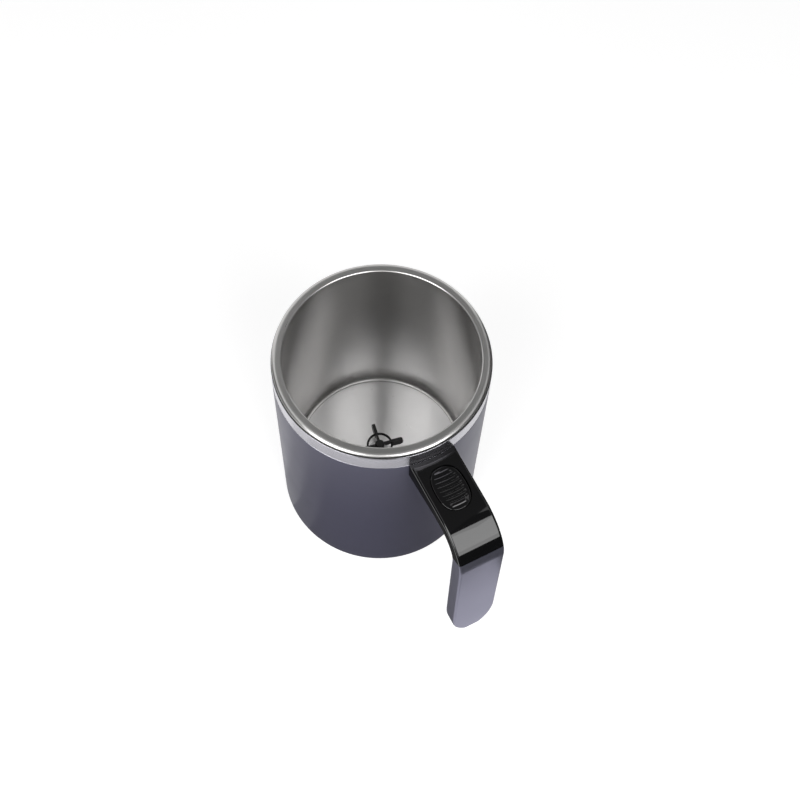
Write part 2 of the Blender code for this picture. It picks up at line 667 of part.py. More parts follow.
def make_shaft_passage(materials):
    bore = SHAFT_BORE
    seal_seat = SEAL_RADIUS + SEAT_GAP
    seal_floor = FLANGE_TOP - SEAL_DEPTH
    bush_profile = [
        (bore, BUSH_BOTTOM),
        (BUSH_RADIUS, BUSH_BOTTOM),
        (BUSH_RADIUS, FLANGE_BOTTOM),
        (BUSH_FLANGE_RADIUS, FLANGE_BOTTOM),
        (BUSH_FLANGE_RADIUS, FLANGE_TOP - BUSH_EDGE_ROUND),
        (BUSH_FLANGE_RADIUS - BUSH_EDGE_ROUND, FLANGE_TOP),
        (seal_seat, FLANGE_TOP),
        (seal_seat, seal_floor),
        (bore, seal_floor),
    ]
    finish_mesh("floor_bush", turned(bush_profile, SEGMENTS_MEDIUM), materials["plain_steel"])
    seal_top = FLANGE_TOP + SEAL_STAND
    seal_profile = [
        (bore, seal_floor + SEAT_GAP),
        (SEAL_RADIUS, seal_floor + SEAT_GAP),
        (SEAL_RADIUS, seal_top - SEAL_STAND),
        (SEAL_RADIUS - SEAL_STAND, seal_top),
        (bore + SEAT_GAP, seal_top),
        (bore, seal_top - SEAL_STAND),
    ]
    finish_mesh("shaft_seal", turned(seal_profile, SEGMENTS_SMALL), materials["rubber"])
    gasket_top = FLOOR_UNDER - SEAT_GAP
    gasket_bottom = gasket_top - GASKET_THICKNESS
    gasket_profile = [
        (BUSH_RADIUS + SEAT_GAP, gasket_bottom),
        (GASKET_RADIUS, gasket_bottom),
        (GASKET_RADIUS, gasket_top),
        (BUSH_RADIUS + SEAT_GAP, gasket_top),
    ]
    finish_mesh("floor_gasket", turned(gasket_profile, SEGMENTS_SMALL), materials["rubber"])
    nut_top = gasket_bottom - SEAT_GAP
    nut = finish_mesh(
        "bush_nut", disc(NUT_RADIUS, nut_top - NUT_THICKNESS, nut_top, NUT_SIDES),
        materials["brass"])
    cut(nut, "bore", disc(
        BUSH_RADIUS + SEAT_GAP, nut_top - NUT_THICKNESS - CUT_OVERRUN, nut_top + CUT_OVERRUN,
        SEGMENTS_SMALL))


def make_stirrer(materials):
    """The stirrer wheel: a hub, a ring and four arms that end in upright paddles."""
    top = STIRRER_TOP
    bore_top = HUB_TOP - STIRRER_TOP_BORE_WALL
    hub = PRESSED_BORE + STIRRER_HUB_WALL
    hub_profile = [
        (0, bore_top),
        (PRESSED_BORE, bore_top),
        (PRESSED_BORE, HUB_BOTTOM),
        (hub, HUB_BOTTOM),
        (hub, HUB_TOP - STIRRER_HUB_DOME),
        (hub - STIRRER_HUB_DOME, HUB_TOP),
        (0, HUB_TOP),
    ]
    wheel = finish_mesh(
        "stirrer_wheel", turned(hub_profile, SEGMENTS_SMALL, closed=False),
        materials["black_plastic"])
    spoke = STIRRER_SPOKE_WIDTH / 2
    ring_low = top - STIRRER_RING_HEIGHT
    paddle_start = STIRRER_RING_RADIUS - STIRRER_RING_WIDTH / 2
    hub_overlap = PRESSED_BORE + STIRRER_HUB_WALL / 2
    for arm in range(STIRRER_ARMS):
        turn = Matrix.Rotation(STIRRER_ARM_ANGLE + math.tau * arm / STIRRER_ARMS, 4, "Z")
        bar = cuboid(
            (hub_overlap, -spoke, top - STIRRER_SPOKE_HEIGHT),
            (STIRRER_RING_RADIUS, spoke, top - FACE_STEP))
        bar.transform(turn)
        join(wheel, "spoke", bar)
        low = top - STIRRER_PADDLE_HEIGHT
        centre_high = (STIRRER_RADIUS - STIRRER_PADDLE_ROUND, top - STIRRER_PADDLE_ROUND)
        centre_low = (STIRRER_RADIUS - STIRRER_PADDLE_ROUND, low + STIRRER_PADDLE_ROUND)
        radii = (STIRRER_PADDLE_ROUND, STIRRER_PADDLE_ROUND)
        outline = [(paddle_start, top), (paddle_start, low)]
        outline += arc(centre_low, radii, -math.pi / 2, 0, CORNER_STEPS)
        outline += arc(centre_high, radii, 0, math.pi / 2, CORNER_STEPS)
        blade = side_prism(outline, STIRRER_PADDLE_WIDTH)
        blade.transform(turn)
        join(wheel, "paddle", blade)
    inner = STIRRER_RING_RADIUS - STIRRER_RING_WIDTH
    ring_profile = [
        (inner, ring_low),
        (STIRRER_RING_RADIUS, ring_low),
        (STIRRER_RING_RADIUS, top - 2 * FACE_STEP),
        (inner, top - 2 * FACE_STEP),
    ]
    join(wheel, "ring", turned(ring_profile, SEGMENTS_MEDIUM))
    return wheel


# Motor

def make_motor_case(materials):
    inner = MOTOR_INNER
    top_inner = MOTOR_TOP - MOTOR_WALL
    edge = (MOTOR_RADIUS - MOTOR_EDGE_ROUND, MOTOR_TOP - MOTOR_EDGE_ROUND)
    profile = [(inner, MOTOR_BOTTOM), (MOTOR_RADIUS, MOTOR_BOTTOM)]
    profile += arc(edge, (MOTOR_EDGE_ROUND, MOTOR_EDGE_ROUND), 0, math.pi / 2, CORNER_STEPS)
    profile += [
        (MOTOR_BOSS_RADIUS, MOTOR_TOP),
        (MOTOR_BOSS_RADIUS, MOTOR_BOSS_TOP),
        (SHAFT_BORE, MOTOR_BOSS_TOP),
        (SHAFT_BORE, top_inner),
        (inner, top_inner),
    ]
    can = finish_mesh("motor_can", turned(profile, SEGMENTS_MEDIUM), materials["plain_steel"])
    for side in (-1, 1):
        centre = (0, side * MOTOR_SCREW_OFFSET)
        cut(can, "screw_hole", disc(
            MOTOR_SCREW_RADIUS + SEAT_GAP, top_inner - CUT_OVERRUN / 2, MOTOR_TOP + CUT_OVERRUN,
            SEGMENTS_TINY, centre))
        y = side * WIRE_SPACING / 2
        half = MOTOR_LUG_WIDTH / 2 + SEAT_GAP
        cut(can, "lug_notch", cuboid(
            (inner - CUT_OVERRUN / 2, y - half, MOTOR_BOTTOM - CUT_OVERRUN),
            (MOTOR_RADIUS + CUT_OVERRUN, y + half, MOTOR_CAP_TOP + SEAT_GAP)))
    return can


def make_motor_cap(materials):
    """The motor's end cap, with the blind bearing for the shaft and two solder lugs."""
    radius = MOTOR_INNER - SEAT_GAP
    bearing_radius = SHAFT_BORE + MOTOR_CAP_BEARING_WALL
    bearing_top = MOTOR_CAP_TOP + MOTOR_CAP_BEARING_HEIGHT
    bore_floor = SHAFT_BOTTOM - SEAT_GAP
    profile = [
        (0, bore_floor),
        (SHAFT_BORE, bore_floor),
        (SHAFT_BORE, bearing_top),
        (bearing_radius, bearing_top),
        (bearing_radius, MOTOR_CAP_TOP),
        (radius, MOTOR_CAP_TOP),
        (radius, MOTOR_BOTTOM + SEAT_GAP),
        (0, MOTOR_BOTTOM + SEAT_GAP),
    ]
    cap = finish_mesh(
        "motor_end_cap", turned(profile, SEGMENTS_MEDIUM, closed=False), materials["black_plastic"])
    lug_level = MOTOR_CAP_TOP - FACE_STEP - MOTOR_LUG_THICKNESS
    for side in (-1, 1):
        y = side * WIRE_SPACING / 2
        join(cap, "lug", cuboid(
            (radius - MOTOR_LUG_WIDTH, y - MOTOR_LUG_WIDTH / 2, lug_level),
            (MOTOR_RADIUS + MOTOR_LUG_REACH, y + MOTOR_LUG_WIDTH / 2,
             lug_level + MOTOR_LUG_THICKNESS)))
    return cap


def make_magnets(materials):
    outer = MOTOR_INNER - SEAT_GAP
    inner = outer - MAGNET_THICKNESS
    for name, middle in (("motor_magnet_front", 0), ("motor_magnet_back", math.pi)):
        magnet = sector(
            inner, outer, middle - MAGNET_ANGLE / 2, middle + MAGNET_ANGLE / 2,
            MAGNET_LOW, MAGNET_LOW + MAGNET_HEIGHT, 2 * SECTOR_STEPS)
        finish_mesh(name, magnet, materials["magnet"])


def armature_outline():
    """Plan of the armature's laminations: a core, and a neck and a curved pole for each winding."""
    core_radius = PRESSED_BORE + ARMATURE_CORE_WALL
    half_neck = math.asin(ARMATURE_NECK_WIDTH / 2 / core_radius)
    pole_inner = POLE_RADIUS - ARMATURE_POLE_THICKNESS
    half_top = math.asin(ARMATURE_NECK_WIDTH / 2 / pole_inner)
    outline = []
    for pole in range(ARMATURE_POLES):
        middle = math.tau * pole / ARMATURE_POLES
        near = [(core_radius, -half_neck), (pole_inner, -half_top)]
        near.append((pole_inner, -ARMATURE_POLE_ANGLE / 2))
        face = [(POLE_RADIUS, turn) for turn in
                span(-ARMATURE_POLE_ANGLE / 2, ARMATURE_POLE_ANGLE / 2, 2 * ARC_STEPS)]
        far = [(radius, -turn) for radius, turn in reversed(near)]
        for radius, turn in near + face + far:
            angle = middle + turn
            outline.append((radius * math.cos(angle), radius * math.sin(angle)))
    return outline


def make_armature(materials):
    """The three-pole armature, its windings and commutator, pressed on the motor's shaft."""
    low = ARMATURE_CENTRE - ARMATURE_HEIGHT / 2
    high = ARMATURE_CENTRE + ARMATURE_HEIGHT / 2
    core = finish_mesh("motor_armature", prism(armature_outline(), low, high), materials["copper"])
    for pole in range(ARMATURE_POLES):
        winding = cuboid(
            (PRESSED_BORE + ARMATURE_CORE_WALL, -WINDING_WIDTH / 2, low - WINDING_END),
            (POLE_RADIUS - ARMATURE_POLE_THICKNESS - SEAT_GAP, WINDING_WIDTH / 2,
             high + WINDING_END))
        winding.transform(Matrix.Rotation(math.tau * pole / ARMATURE_POLES, 4, "Z"))
        join(core, "winding", winding)
    commutator_low = low - WINDING_END - COMMUTATOR_HEIGHT
    join(core, "commutator", disc(
        PRESSED_BORE + COMMUTATOR_WALL, commutator_low, ARMATURE_CENTRE, SEGMENTS_SMALL))
    cut(core, "bore", disc(
        PRESSED_BORE, commutator_low - CUT_OVERRUN, high + CUT_OVERRUN, SEGMENTS_SMALL))
    return core


def make_shaft(materials):
    shaft_top = HUB_TOP - STIRRER_TOP_BORE_WALL - SEAT_GAP
    shaft = disc(SHAFT_RADIUS, SHAFT_BOTTOM, shaft_top, SEGMENTS_SMALL)
    finish_mesh("motor_shaft", shaft, materials["plain_steel"])


def screw_mesh(shank_radius, head_radius, head_height, length):
    """A pan head screw on Z: the head stands on zero and the shank runs down by the length."""
    profile = [
        (0, -length),
        (shank_radius, -length),
        (shank_radius, 0),
        (head_radius, 0),
        (head_radius, head_height / 2),
        (head_radius - head_height / 2, head_height),
        (0, head_height),
    ]
    return turned(profile, SEGMENTS_TINY, closed=False)


def make_motor_screws(materials):
    seat = PLATE_TOP + SEAT_GAP
    length = seat - MOTOR_TOP + MOTOR_SCREW_GRIP
    for name, side in (("motor_screw_left", 1), ("motor_screw_right", -1)):
        screw = screw_mesh(
            MOTOR_SCREW_RADIUS, MOTOR_SCREW_HEAD_RADIUS, MOTOR_SCREW_HEAD_HEIGHT, length)
        place = Matrix.Translation((0, side * MOTOR_SCREW_OFFSET, seat))
        finish_mesh(name, screw, materials["plain_steel"], place)


# Base housing and batteries

def make_base_housing(materials):
    """The black tray inside the shell's foot, with the motor collar and the two cell cradles."""
    centre_hole = NUT_RADIUS + HOUSING_HOLE_MARGIN
    housing_profile = [
        (HOUSING_INNER, HOUSING_BOTTOM),
        (HOUSING_RADIUS, HOUSING_BOTTOM),
        (HOUSING_RADIUS, PLATE_TOP),
        (centre_hole, PLATE_TOP),
        (centre_hole, PLATE_BOTTOM),
        (HOUSING_INNER, PLATE_BOTTOM),
    ]
    housing = finish_mesh(
        "base_housing", turned(housing_profile, SEGMENTS_LARGE), materials["black_plastic"])
    root = PLATE_BOTTOM + HOUSING_PLATE / 2
    collar_low = PLATE_BOTTOM - HOUSING_COLLAR_HEIGHT
    collar_profile = [
        (COLLAR_INNER, collar_low),
        (COLLAR_INNER + HOUSING_COLLAR_WALL, collar_low),
        (COLLAR_INNER + HOUSING_COLLAR_WALL, root),
        (COLLAR_INNER, root),
    ]
    join(housing, "collar", turned(collar_profile, SEGMENTS_MEDIUM))
    for side in (-1, 1):
        y = side * CELL_OFFSET
        rib_near = y + side * (CELL_RADIUS + SEAT_GAP)
        rib_far = rib_near + side * HOUSING_RIB
        rib_low = PLATE_BOTTOM - HOUSING_RIB_HEIGHT
        low_y = min(rib_near, rib_far)
        high_y = max(rib_near, rib_far)
        join(housing, "cradle_rib", cuboid(
            (-PLATE_WALL_X, low_y, rib_low), (PLATE_WALL_X, high_y, root)))
        for wall in (side * SPRING_WALL_X, side * PLATE_WALL_X):
            outward = math.copysign(HOUSING_END_WALL, wall)
            reach = CONTACT_WIDTH / 2
            join(housing, "end_wall", cuboid(
                (min(wall, wall + outward), y - reach, rib_low),
                (max(wall, wall + outward), y + reach, root)))
        cut(housing, "motor_screw_hole", disc(
            MOTOR_SCREW_RADIUS + SEAT_GAP, PLATE_BOTTOM - CUT_OVERRUN, PLATE_TOP + CUT_OVERRUN,
            SEGMENTS_TINY, (0, side * MOTOR_SCREW_OFFSET)))
        cut(housing, "wire_hole", disc(
            WIRE_RADIUS + SEAT_GAP, PLATE_BOTTOM - CUT_OVERRUN, PLATE_TOP + CUT_OVERRUN,
            SEGMENTS_TINY, (WIRE_HOLE_RADIUS, side * WIRE_SPACING / 2)))
    add_cover_ledges(housing)
    return housing


def add_cover_ledges(housing):
    """Ledges that the cover's lugs turn on to, each with a stop at its locked end."""
    inner = COVER_SKIRT_RADIUS + SEAT_GAP
    outer = HOUSING_INNER + HOUSING_WALL / 2
    half_lug = COVER_LUG_ANGLE / 2
    ledge_end = COVER_TURN - half_lug - LEDGE_CLEAR_ANGLE
    stop_start = half_lug + SEAT_GAP / inner
    stop_end = stop_start + HOUSING_STOP_WIDTH / inner
    for lug in range(COVER_LUGS):
        middle = math.tau * lug / COVER_LUGS
        join(housing, "ledge", sector(
            inner, outer, middle - ledge_end, middle + ledge_end,
            LEDGE_BOTTOM, LEDGE_TOP, SECTOR_STEPS))
        join(housing, "stop", sector(
            inner, outer, middle + stop_start, middle + stop_end,
            LEDGE_TOP - LEDGE_HEIGHT / 2, COVER_SKIRT_TOP, 1))


def make_cells(materials):
    for name, side in (("battery_left", 1), ("battery_right", -1)):
        profile = [
            (0, 0),
            (CELL_RADIUS - CELL_EDGE_ROUND, 0),
            (CELL_RADIUS, CELL_EDGE_ROUND),
            (CELL_RADIUS, CELL_LENGTH - CELL_EDGE_ROUND),
            (CELL_RADIUS - CELL_EDGE_ROUND, CELL_LENGTH),
            (CELL_NUB_RADIUS, CELL_LENGTH),
            (CELL_NUB_RADIUS, CELL_LENGTH + CELL_NUB_LENGTH),
            (0, CELL_LENGTH + CELL_NUB_LENGTH),
        ]
        cell = turned(profile, SEGMENTS_SMALL, closed=False)
        lay = Matrix.Rotation(side * math.pi / 2, 4, "Y")
        place = Matrix.Translation((side * CELL_SPRING_X, side * CELL_OFFSET, CELL_CENTRE))
        finish_mesh(name, cell, materials["cell_jacket"], place @ lay)


def make_cell_contacts(materials):
    for word, side in (("left", 1), ("right", -1)):
        y = side * CELL_OFFSET
        near = side * (PLATE_WALL_X - SEAT_GAP)
        far = near - side * CONTACT_THICKNESS
        half = CONTACT_WIDTH / 2
        plate = cuboid(
            (min(near, far), y - half + SEAT_GAP, CELL_CENTRE - CONTACT_HEIGHT / 2),
            (max(near, far), y + half - SEAT_GAP, CELL_CENTRE + CONTACT_HEIGHT / 2))
        finish_mesh("battery_plate_" + word, plate, materials["brass"])
        length = SPRING_LENGTH - 2 * SPRING_WIRE_RADIUS
        coil = tube_along(
            helix(SPRING_LARGE_RADIUS, SPRING_SMALL_RADIUS, 0, length, SPRING_TURNS),
            SPRING_WIRE_RADIUS, SPRING_SIDES)
        lay = Matrix.Rotation(side * math.pi / 2, 4, "Y")
        start = side * (SPRING_WALL_X + SEAT_GAP + SPRING_WIRE_RADIUS)
        place = Matrix.Translation((start, y, CELL_CENTRE)) @ lay
        finish_mesh("battery_spring_" + word, coil, materials["plain_steel"], place)


# Bottom cover

def make_bottom_cover(materials):
    """The cover that turns to unlock: a disc, a skirt with lugs, finger recesses and a pad seat."""
    inner_face = COVER_INNER_FACE
    rib_top = CELL_CENTRE - CELL_RADIUS - SEAT_GAP
    pad_seat = PAD_THICKNESS + SEAT_GAP
    skirt_inner = COVER_SKIRT_RADIUS - COVER_SKIRT_WALL
    profile = [
        (0, pad_seat),
        (PAD_RADIUS + SEAT_GAP, pad_seat),
        (PAD_RADIUS + SEAT_GAP, COVER_BOTTOM),
        (COVER_RADIUS - COVER_EDGE_ROUND, COVER_BOTTOM),
        (COVER_RADIUS, COVER_BOTTOM + COVER_EDGE_ROUND),
        (COVER_RADIUS, inner_face),
        (COVER_SKIRT_RADIUS, inner_face),
        (COVER_SKIRT_RADIUS, COVER_SKIRT_TOP),
        (skirt_inner, COVER_SKIRT_TOP),
        (skirt_inner, inner_face),
        (COVER_RIB_RADIUS, inner_face),
        (COVER_RIB_RADIUS, rib_top),
        (COVER_RIB_RADIUS - COVER_RIB_WALL, rib_top),
        (COVER_RIB_RADIUS - COVER_RIB_WALL, inner_face),
        (0, inner_face),
    ]
    cover = finish_mesh(
        "bottom_cover", turned(profile, SEGMENTS_LARGE, closed=False), materials["black_plastic"])
    for lug in range(COVER_LUGS):
        middle = math.tau * lug / COVER_LUGS
        join(cover, "lug", sector(
            COVER_SKIRT_RADIUS - COVER_SKIRT_WALL / 2, HOUSING_INNER - SEAT_GAP,
            middle - COVER_LUG_ANGLE / 2, middle + COVER_LUG_ANGLE / 2,
            COVER_LUG_BOTTOM, COVER_LUG_BOTTOM + COVER_LUG_HEIGHT, SECTOR_STEPS))
    recess_outer = COVER_RADIUS - FINGER_RECESS_MARGIN
    for middle in (math.pi / 2, -math.pi / 2):
        cut(cover, "finger_recess", sector(
            recess_outer - FINGER_RECESS_WIDTH, recess_outer,
            middle - FINGER_RECESS_ANGLE / 2, middle + FINGER_RECESS_ANGLE / 2,
            COVER_BOTTOM - CUT_OVERRUN, COVER_BOTTOM + FINGER_RECESS_DEPTH, 2 * SECTOR_STEPS))
    return cover


def make_cover_seal(materials):
    inner = COVER_SKIRT_RADIUS + SEAT_GAP
    middle = COVER_SEAL_BOTTOM + COVER_SEAL_HEIGHT / 2
    radii = (COVER_SEAL_WIDTH / 2, COVER_SEAL_HEIGHT / 2)
    section = arc((inner + COVER_SEAL_WIDTH / 2, middle), radii, 0, math.tau, SEAL_SIDES)[:-1]
    finish_mesh("cover_seal", turned(section, SEGMENTS_LARGE), materials["rubber"])


def make_pad(materials):
    profile = [
        (0, 0),
        (PAD_RADIUS - PAD_EDGE_ROUND, 0),
        (PAD_RADIUS, PAD_EDGE_ROUND),
        (PAD_RADIUS, PAD_THICKNESS),
        (0, PAD_THICKNESS),
    ]
    pad = turned(profile, SEGMENTS_LARGE, closed=False)
    finish_mesh("non_slip_pad", pad, materials["rubber"])


# Handle

def handle_path_point(travel):
    """Point and inward direction at a place on the handle's outer line.

    Travel is the length along the line from the shoulder's start, negative on the level arm.
    """
    radius = HANDLE_SHOULDER_RADIUS
    if travel <= 0:
        return Vector((HANDLE_SHOULDER_X + travel, 0, HANDLE_TOP)), Vector((0, 0, -1))
    turned_by = min(travel / radius, SHOULDER_SWEEP)
    angle = math.pi / 2 - turned_by
    outward = Vector((math.cos(angle), 0, math.sin(angle)))
    point = Vector((HANDLE_SHOULDER_X, 0, SHOULDER_CENTRE_Z)) + radius * outward
    if travel > radius * SHOULDER_SWEEP:
        down = Vector((math.sin(HANDLE_LEAN), 0, -math.cos(HANDLE_LEAN)))
        point = point + down * (travel - radius * SHOULDER_SWEEP)
    return point, -outward


def grip_travel(height):
    """Travel at which the handle's outer line reaches a height on the straight grip."""
    start = SHOULDER_CENTRE_Z + HANDLE_SHOULDER_RADIUS * math.sin(HANDLE_LEAN)
    return HANDLE_SHOULDER_RADIUS * SHOULDER_SWEEP + (start - height) / math.cos(HANDLE_LEAN)


def handle_ring(travel, near, far, half_width, rounds):
    """A rounded section of the handle between two depths below its outer line."""
    point, inward = handle_path_point(travel)
    depth = far - near
    outer_round = min(rounds[0], half_width * ROUND_WIDTH_SHARE, depth * ROUND_DEPTH_SHARE)
    inner_round = min(rounds[1], half_width * ROUND_WIDTH_SHARE, depth * ROUND_DEPTH_SHARE)
    corners = (
        (half_width - outer_round, near + outer_round, outer_round, -math.pi / 2),
        (half_width - inner_round, far - inner_round, inner_round, 0),
        (-half_width + inner_round, far - inner_round, inner_round, math.pi / 2),
        (-half_width + outer_round, near + outer_round, outer_round, math.pi),
    )
    ring = []
    for y, depth_at, radius, start in corners:
        for across, into in arc((y, depth_at), (radius, radius), start, start + math.pi / 2,
                                CORNER_STEPS):
            spot = point + inward * into
            ring.append((spot.x, across, spot.z))
    return ring


def arm_depth(travel):
    """Depth of the handle below its outer line: more at the root, even beyond the taper."""
    taper_end = ARM_TAPER_REACH - HANDLE_SHOULDER_REACH
    root = ROOT_RADIUS - HANDLE_SHOULDER_X
    share = max(0, (taper_end - travel) / (taper_end - root))
    return HANDLE_DEPTH + (ARM_ROOT_DEPTH - HANDLE_DEPTH) * share


def seam_travel():
    return (math.pi / 2 - HANDLE_SEAM_ANGLE) * HANDLE_SHOULDER_RADIUS


def span(start, end, steps):
    return [start + (end - start) * step / steps for step in range(steps + 1)]


def make_handle_frame(materials):
    """The glossy black arm and shoulder, hollow under its top, with the spine inside the grip."""
    root = ROOT_RADIUS - HANDLE_SHOULDER_X - CUT_OVERRUN
    rounds = (HANDLE_OUTER_ROUND, HANDLE_INNER_ROUND)
    seam = seam_travel()
    travels = [root, ARM_TAPER_REACH - HANDLE_SHOULDER_REACH] + span(0, seam, 2 * ARC_STEPS)
    rings = [handle_ring(t, 0, arm_depth(t), HANDLE_WIDTH / 2, rounds) for t in travels]
    frame = finish_mesh("handle_frame", lofted(rings), materials["black_gloss"])
    top_cut = BODY_HEIGHT + CUT_OVERRUN
    cut(frame, "mug_wall", disc(ROOT_RADIUS, 0, top_cut, SEGMENTS_LARGE))
    cut(frame, "root_step", disc(
        ROOT_RADIUS + ROOT_STEP_WIDTH, HANDLE_TOP - ROOT_STEP_DEPTH, top_cut, SEGMENTS_LARGE))
    half = HANDLE_WIDTH / 2 - FRAME_SIDE_WALL
    cut(frame, "pocket", cuboid(
        (FRAME_POCKET_START, -half, HANDLE_TOP - ARM_ROOT_DEPTH - CUT_OVERRUN),
        (FRAME_POCKET_END, half, HANDLE_TOP - FRAME_TOP_WALL)))
    cut(frame, "button_hole", prism(
        button_outline(SEAT_GAP, BUTTON_X), HANDLE_TOP - FRAME_TOP_WALL - CUT_OVERRUN / 2,
        HANDLE_TOP + CUT_OVERRUN))
    add_frame_bosses(frame)
    add_frame_spine(frame, seam)
    cut(frame, "wire_slot", wire_slot(
        ROOT_RADIUS - CUT_OVERRUN, FRAME_POCKET_START + CUT_OVERRUN / 2))
    return frame


def add_frame_bosses(frame):
    """Bosses for the two screws from the mug and the two of the under cover."""
    pilot_end = HANDLE_SCREW_END + SEAT_GAP
    for side in (-1, 1):
        y = side * HANDLE_SCREW_OFFSET
        join(frame, "mug_boss", rod_along_x(
            HANDLE_BOSS_RADIUS, FRAME_POCKET_START - FRAME_ROOT_WALL / 2,
            pilot_end + HANDLE_BOSS_END_WALL, y, HANDLE_SCREW_LEVEL, SEGMENTS_SMALL))
        cut(frame, "mug_pilot", rod_along_x(
            HANDLE_SCREW_RADIUS + SEAT_GAP, ROOT_RADIUS - CUT_OVERRUN, pilot_end, y,
            HANDLE_SCREW_LEVEL, SEGMENTS_TINY))
    for x in (COVER_SCREW_NEAR_X, COVER_SCREW_FAR_X):
        low = cover_seat(x) + UNDER_COVER_SEAT_WALL + SEAT_GAP
        join(frame, "cover_boss", disc(COVER_BOSS_RADIUS, low, BOSS_TOP, SEGMENTS_SMALL, (x, 0)))
        cut(frame, "cover_pilot", disc(
            COVER_SCREW_RADIUS + SEAT_GAP, low - CUT_OVERRUN / 4, BOSS_TOP + CUT_OVERRUN / 4,
            SEGMENTS_TINY, (x, 0)))


def spine_section():
    """Depths and half width of the spine that fits inside the grip sleeve."""
    near = SLEEVE_WALL + SEAT_GAP
    far = HANDLE_DEPTH - SLEEVE_INNER_WALL - SEAT_GAP
    half_width = HANDLE_WIDTH / 2 - SLEEVE_WALL - SEAT_GAP
    return near, far, half_width


def add_frame_spine(frame, seam):
    near, far, half_width = spine_section()
    start = seam - SPINE_ROOT_OVERLAP * HANDLE_SHOULDER_RADIUS
    travels = [start] + span(seam, grip_travel(SHOULDER_CENTRE_Z), ARC_STEPS)
    travels.append(grip_travel(SPINE_END))
    rounds = (SPINE_ROUND, HANDLE_INNER_ROUND - SLEEVE_WALL)
    rings = [handle_ring(t, near, far, half_width, rounds) for t in travels]
    join(frame, "spine", lofted(rings))
    point, inward = handle_path_point(grip_travel(GRIP_SCREW_LEVEL))
    pilot = grip_screw_cut(
        point, inward, far, GRIP_SCREW_RADIUS + SEAT_GAP, GRIP_SCREW_GRIP + SEAT_GAP)
    cut(frame, "grip_pilot", pilot)


def grip_screw_cut(point, inward, depth, radius, length):
    """A cutter for the grip screw, along the handle's depth, from a depth outwards by a length."""
    rod = disc(radius, -length, CUT_OVERRUN / 4, SEGMENTS_TINY)
    turn = inward.to_track_quat("Z", "Y").to_matrix().to_4x4()
    rod.transform(Matrix.Translation(point + inward * depth) @ turn)
    return rod


def tongue_shares(steps):
    """Even turns of a quarter circle: shares of the way to the tip and of the width there."""
    for step in range(steps + 1):
        angle = math.pi / 2 * step / steps
        yield math.sin(angle), math.cos(angle)


def make_grip_sleeve(materials):
    """The painted grip: a sleeve over the spine, round at its free lower end."""
    seam = seam_travel() + SEAT_GAP
    bend_end = grip_travel(SHOULDER_CENTRE_Z)
    tip = grip_travel(HANDLE_BOTTOM)
    rounds = (HANDLE_OUTER_ROUND, HANDLE_INNER_ROUND)
    rings = []
    for travel in span(seam, bend_end, ARC_STEPS):
        rings.append(handle_ring(travel, 0, HANDLE_DEPTH, HANDLE_WIDTH / 2, rounds))
    for share, width_share in tongue_shares(2 * ARC_STEPS):
        travel = tip - TONGUE_LENGTH * (1 - share)
        half_width = max(HANDLE_WIDTH / 2 * width_share, TONGUE_EDGE_ROUND / 2)
        left = max(0, TONGUE_EDGE_ROUND - (tip - travel))
        inset = TONGUE_EDGE_ROUND - math.sqrt(TONGUE_EDGE_ROUND ** 2 - left ** 2)
        inset = min(inset, HANDLE_DEPTH / 2 - SLEEVE_WALL / 2)
        rings.append(handle_ring(travel, inset, HANDLE_DEPTH - inset, half_width, rounds))
    sleeve = finish_mesh("grip_sleeve", lofted(rings), materials["painted_plastic"])
    near, far, half_width = spine_section()
    near -= SEAT_GAP
    far += SEAT_GAP
    half_width += SEAT_GAP
    hollow_rounds = (SPINE_ROUND, HANDLE_INNER_ROUND - SLEEVE_WALL)
    travels = [seam - SPINE_ROOT_OVERLAP * HANDLE_SHOULDER_RADIUS]
    travels += span(seam, bend_end, ARC_STEPS)
    travels.append(grip_travel(SPINE_END - SEAT_GAP))
    hollow = lofted([handle_ring(t, near, far, half_width, hollow_rounds) for t in travels])
    cut(sleeve, "hollow", hollow)
    point, inward = handle_path_point(grip_travel(GRIP_SCREW_LEVEL))
    shank = grip_screw_cut(
        point, inward, HANDLE_DEPTH, GRIP_SCREW_RADIUS + SEAT_GAP, SLEEVE_INNER_WALL + SEAT_GAP)
    cut(sleeve, "screw_hole", shank)
    head = grip_screw_cut(
        point, inward, HANDLE_DEPTH, GRIP_SCREW_HEAD_RADIUS + SEAT_GAP,
        GRIP_SCREW_HEAD_HEIGHT + SEAT_GAP)
    cut(sleeve, "screw_head_seat", head)
    return sleeve


def make_grip_screw(materials):
    """The screw in the grip's inner face. Its head lies in a counterbore."""
    point, inward = handle_path_point(grip_travel(GRIP_SCREW_LEVEL))
    seat = HANDLE_DEPTH - GRIP_SCREW_HEAD_HEIGHT
    far = spine_section()[1]
    length = seat - far + GRIP_SCREW_GRIP
    screw = screw_mesh(GRIP_SCREW_RADIUS, GRIP_SCREW_HEAD_RADIUS, GRIP_SCREW_HEAD_HEIGHT, length)
    turn = inward.to_track_quat("Z", "Y").to_matrix().to_4x4()
    place = Matrix.Translation(point + inward * seat) @ turn
    finish_mesh("grip_screw", screw, materials["plain_steel"], place)


def under_line(x):
    """Height of the arm's underside at a distance from the mug's axis."""
    return HANDLE_TOP - arm_depth(x - HANDLE_SHOULDER_X)


def cover_seat(x):
    """Level at which the sunk head of an under cover screw stands against the cover."""
    return under_line(x + COVER_SCREW_HEAD_RADIUS) + COVER_SCREW_HEAD_HEIGHT + SEAT_GAP


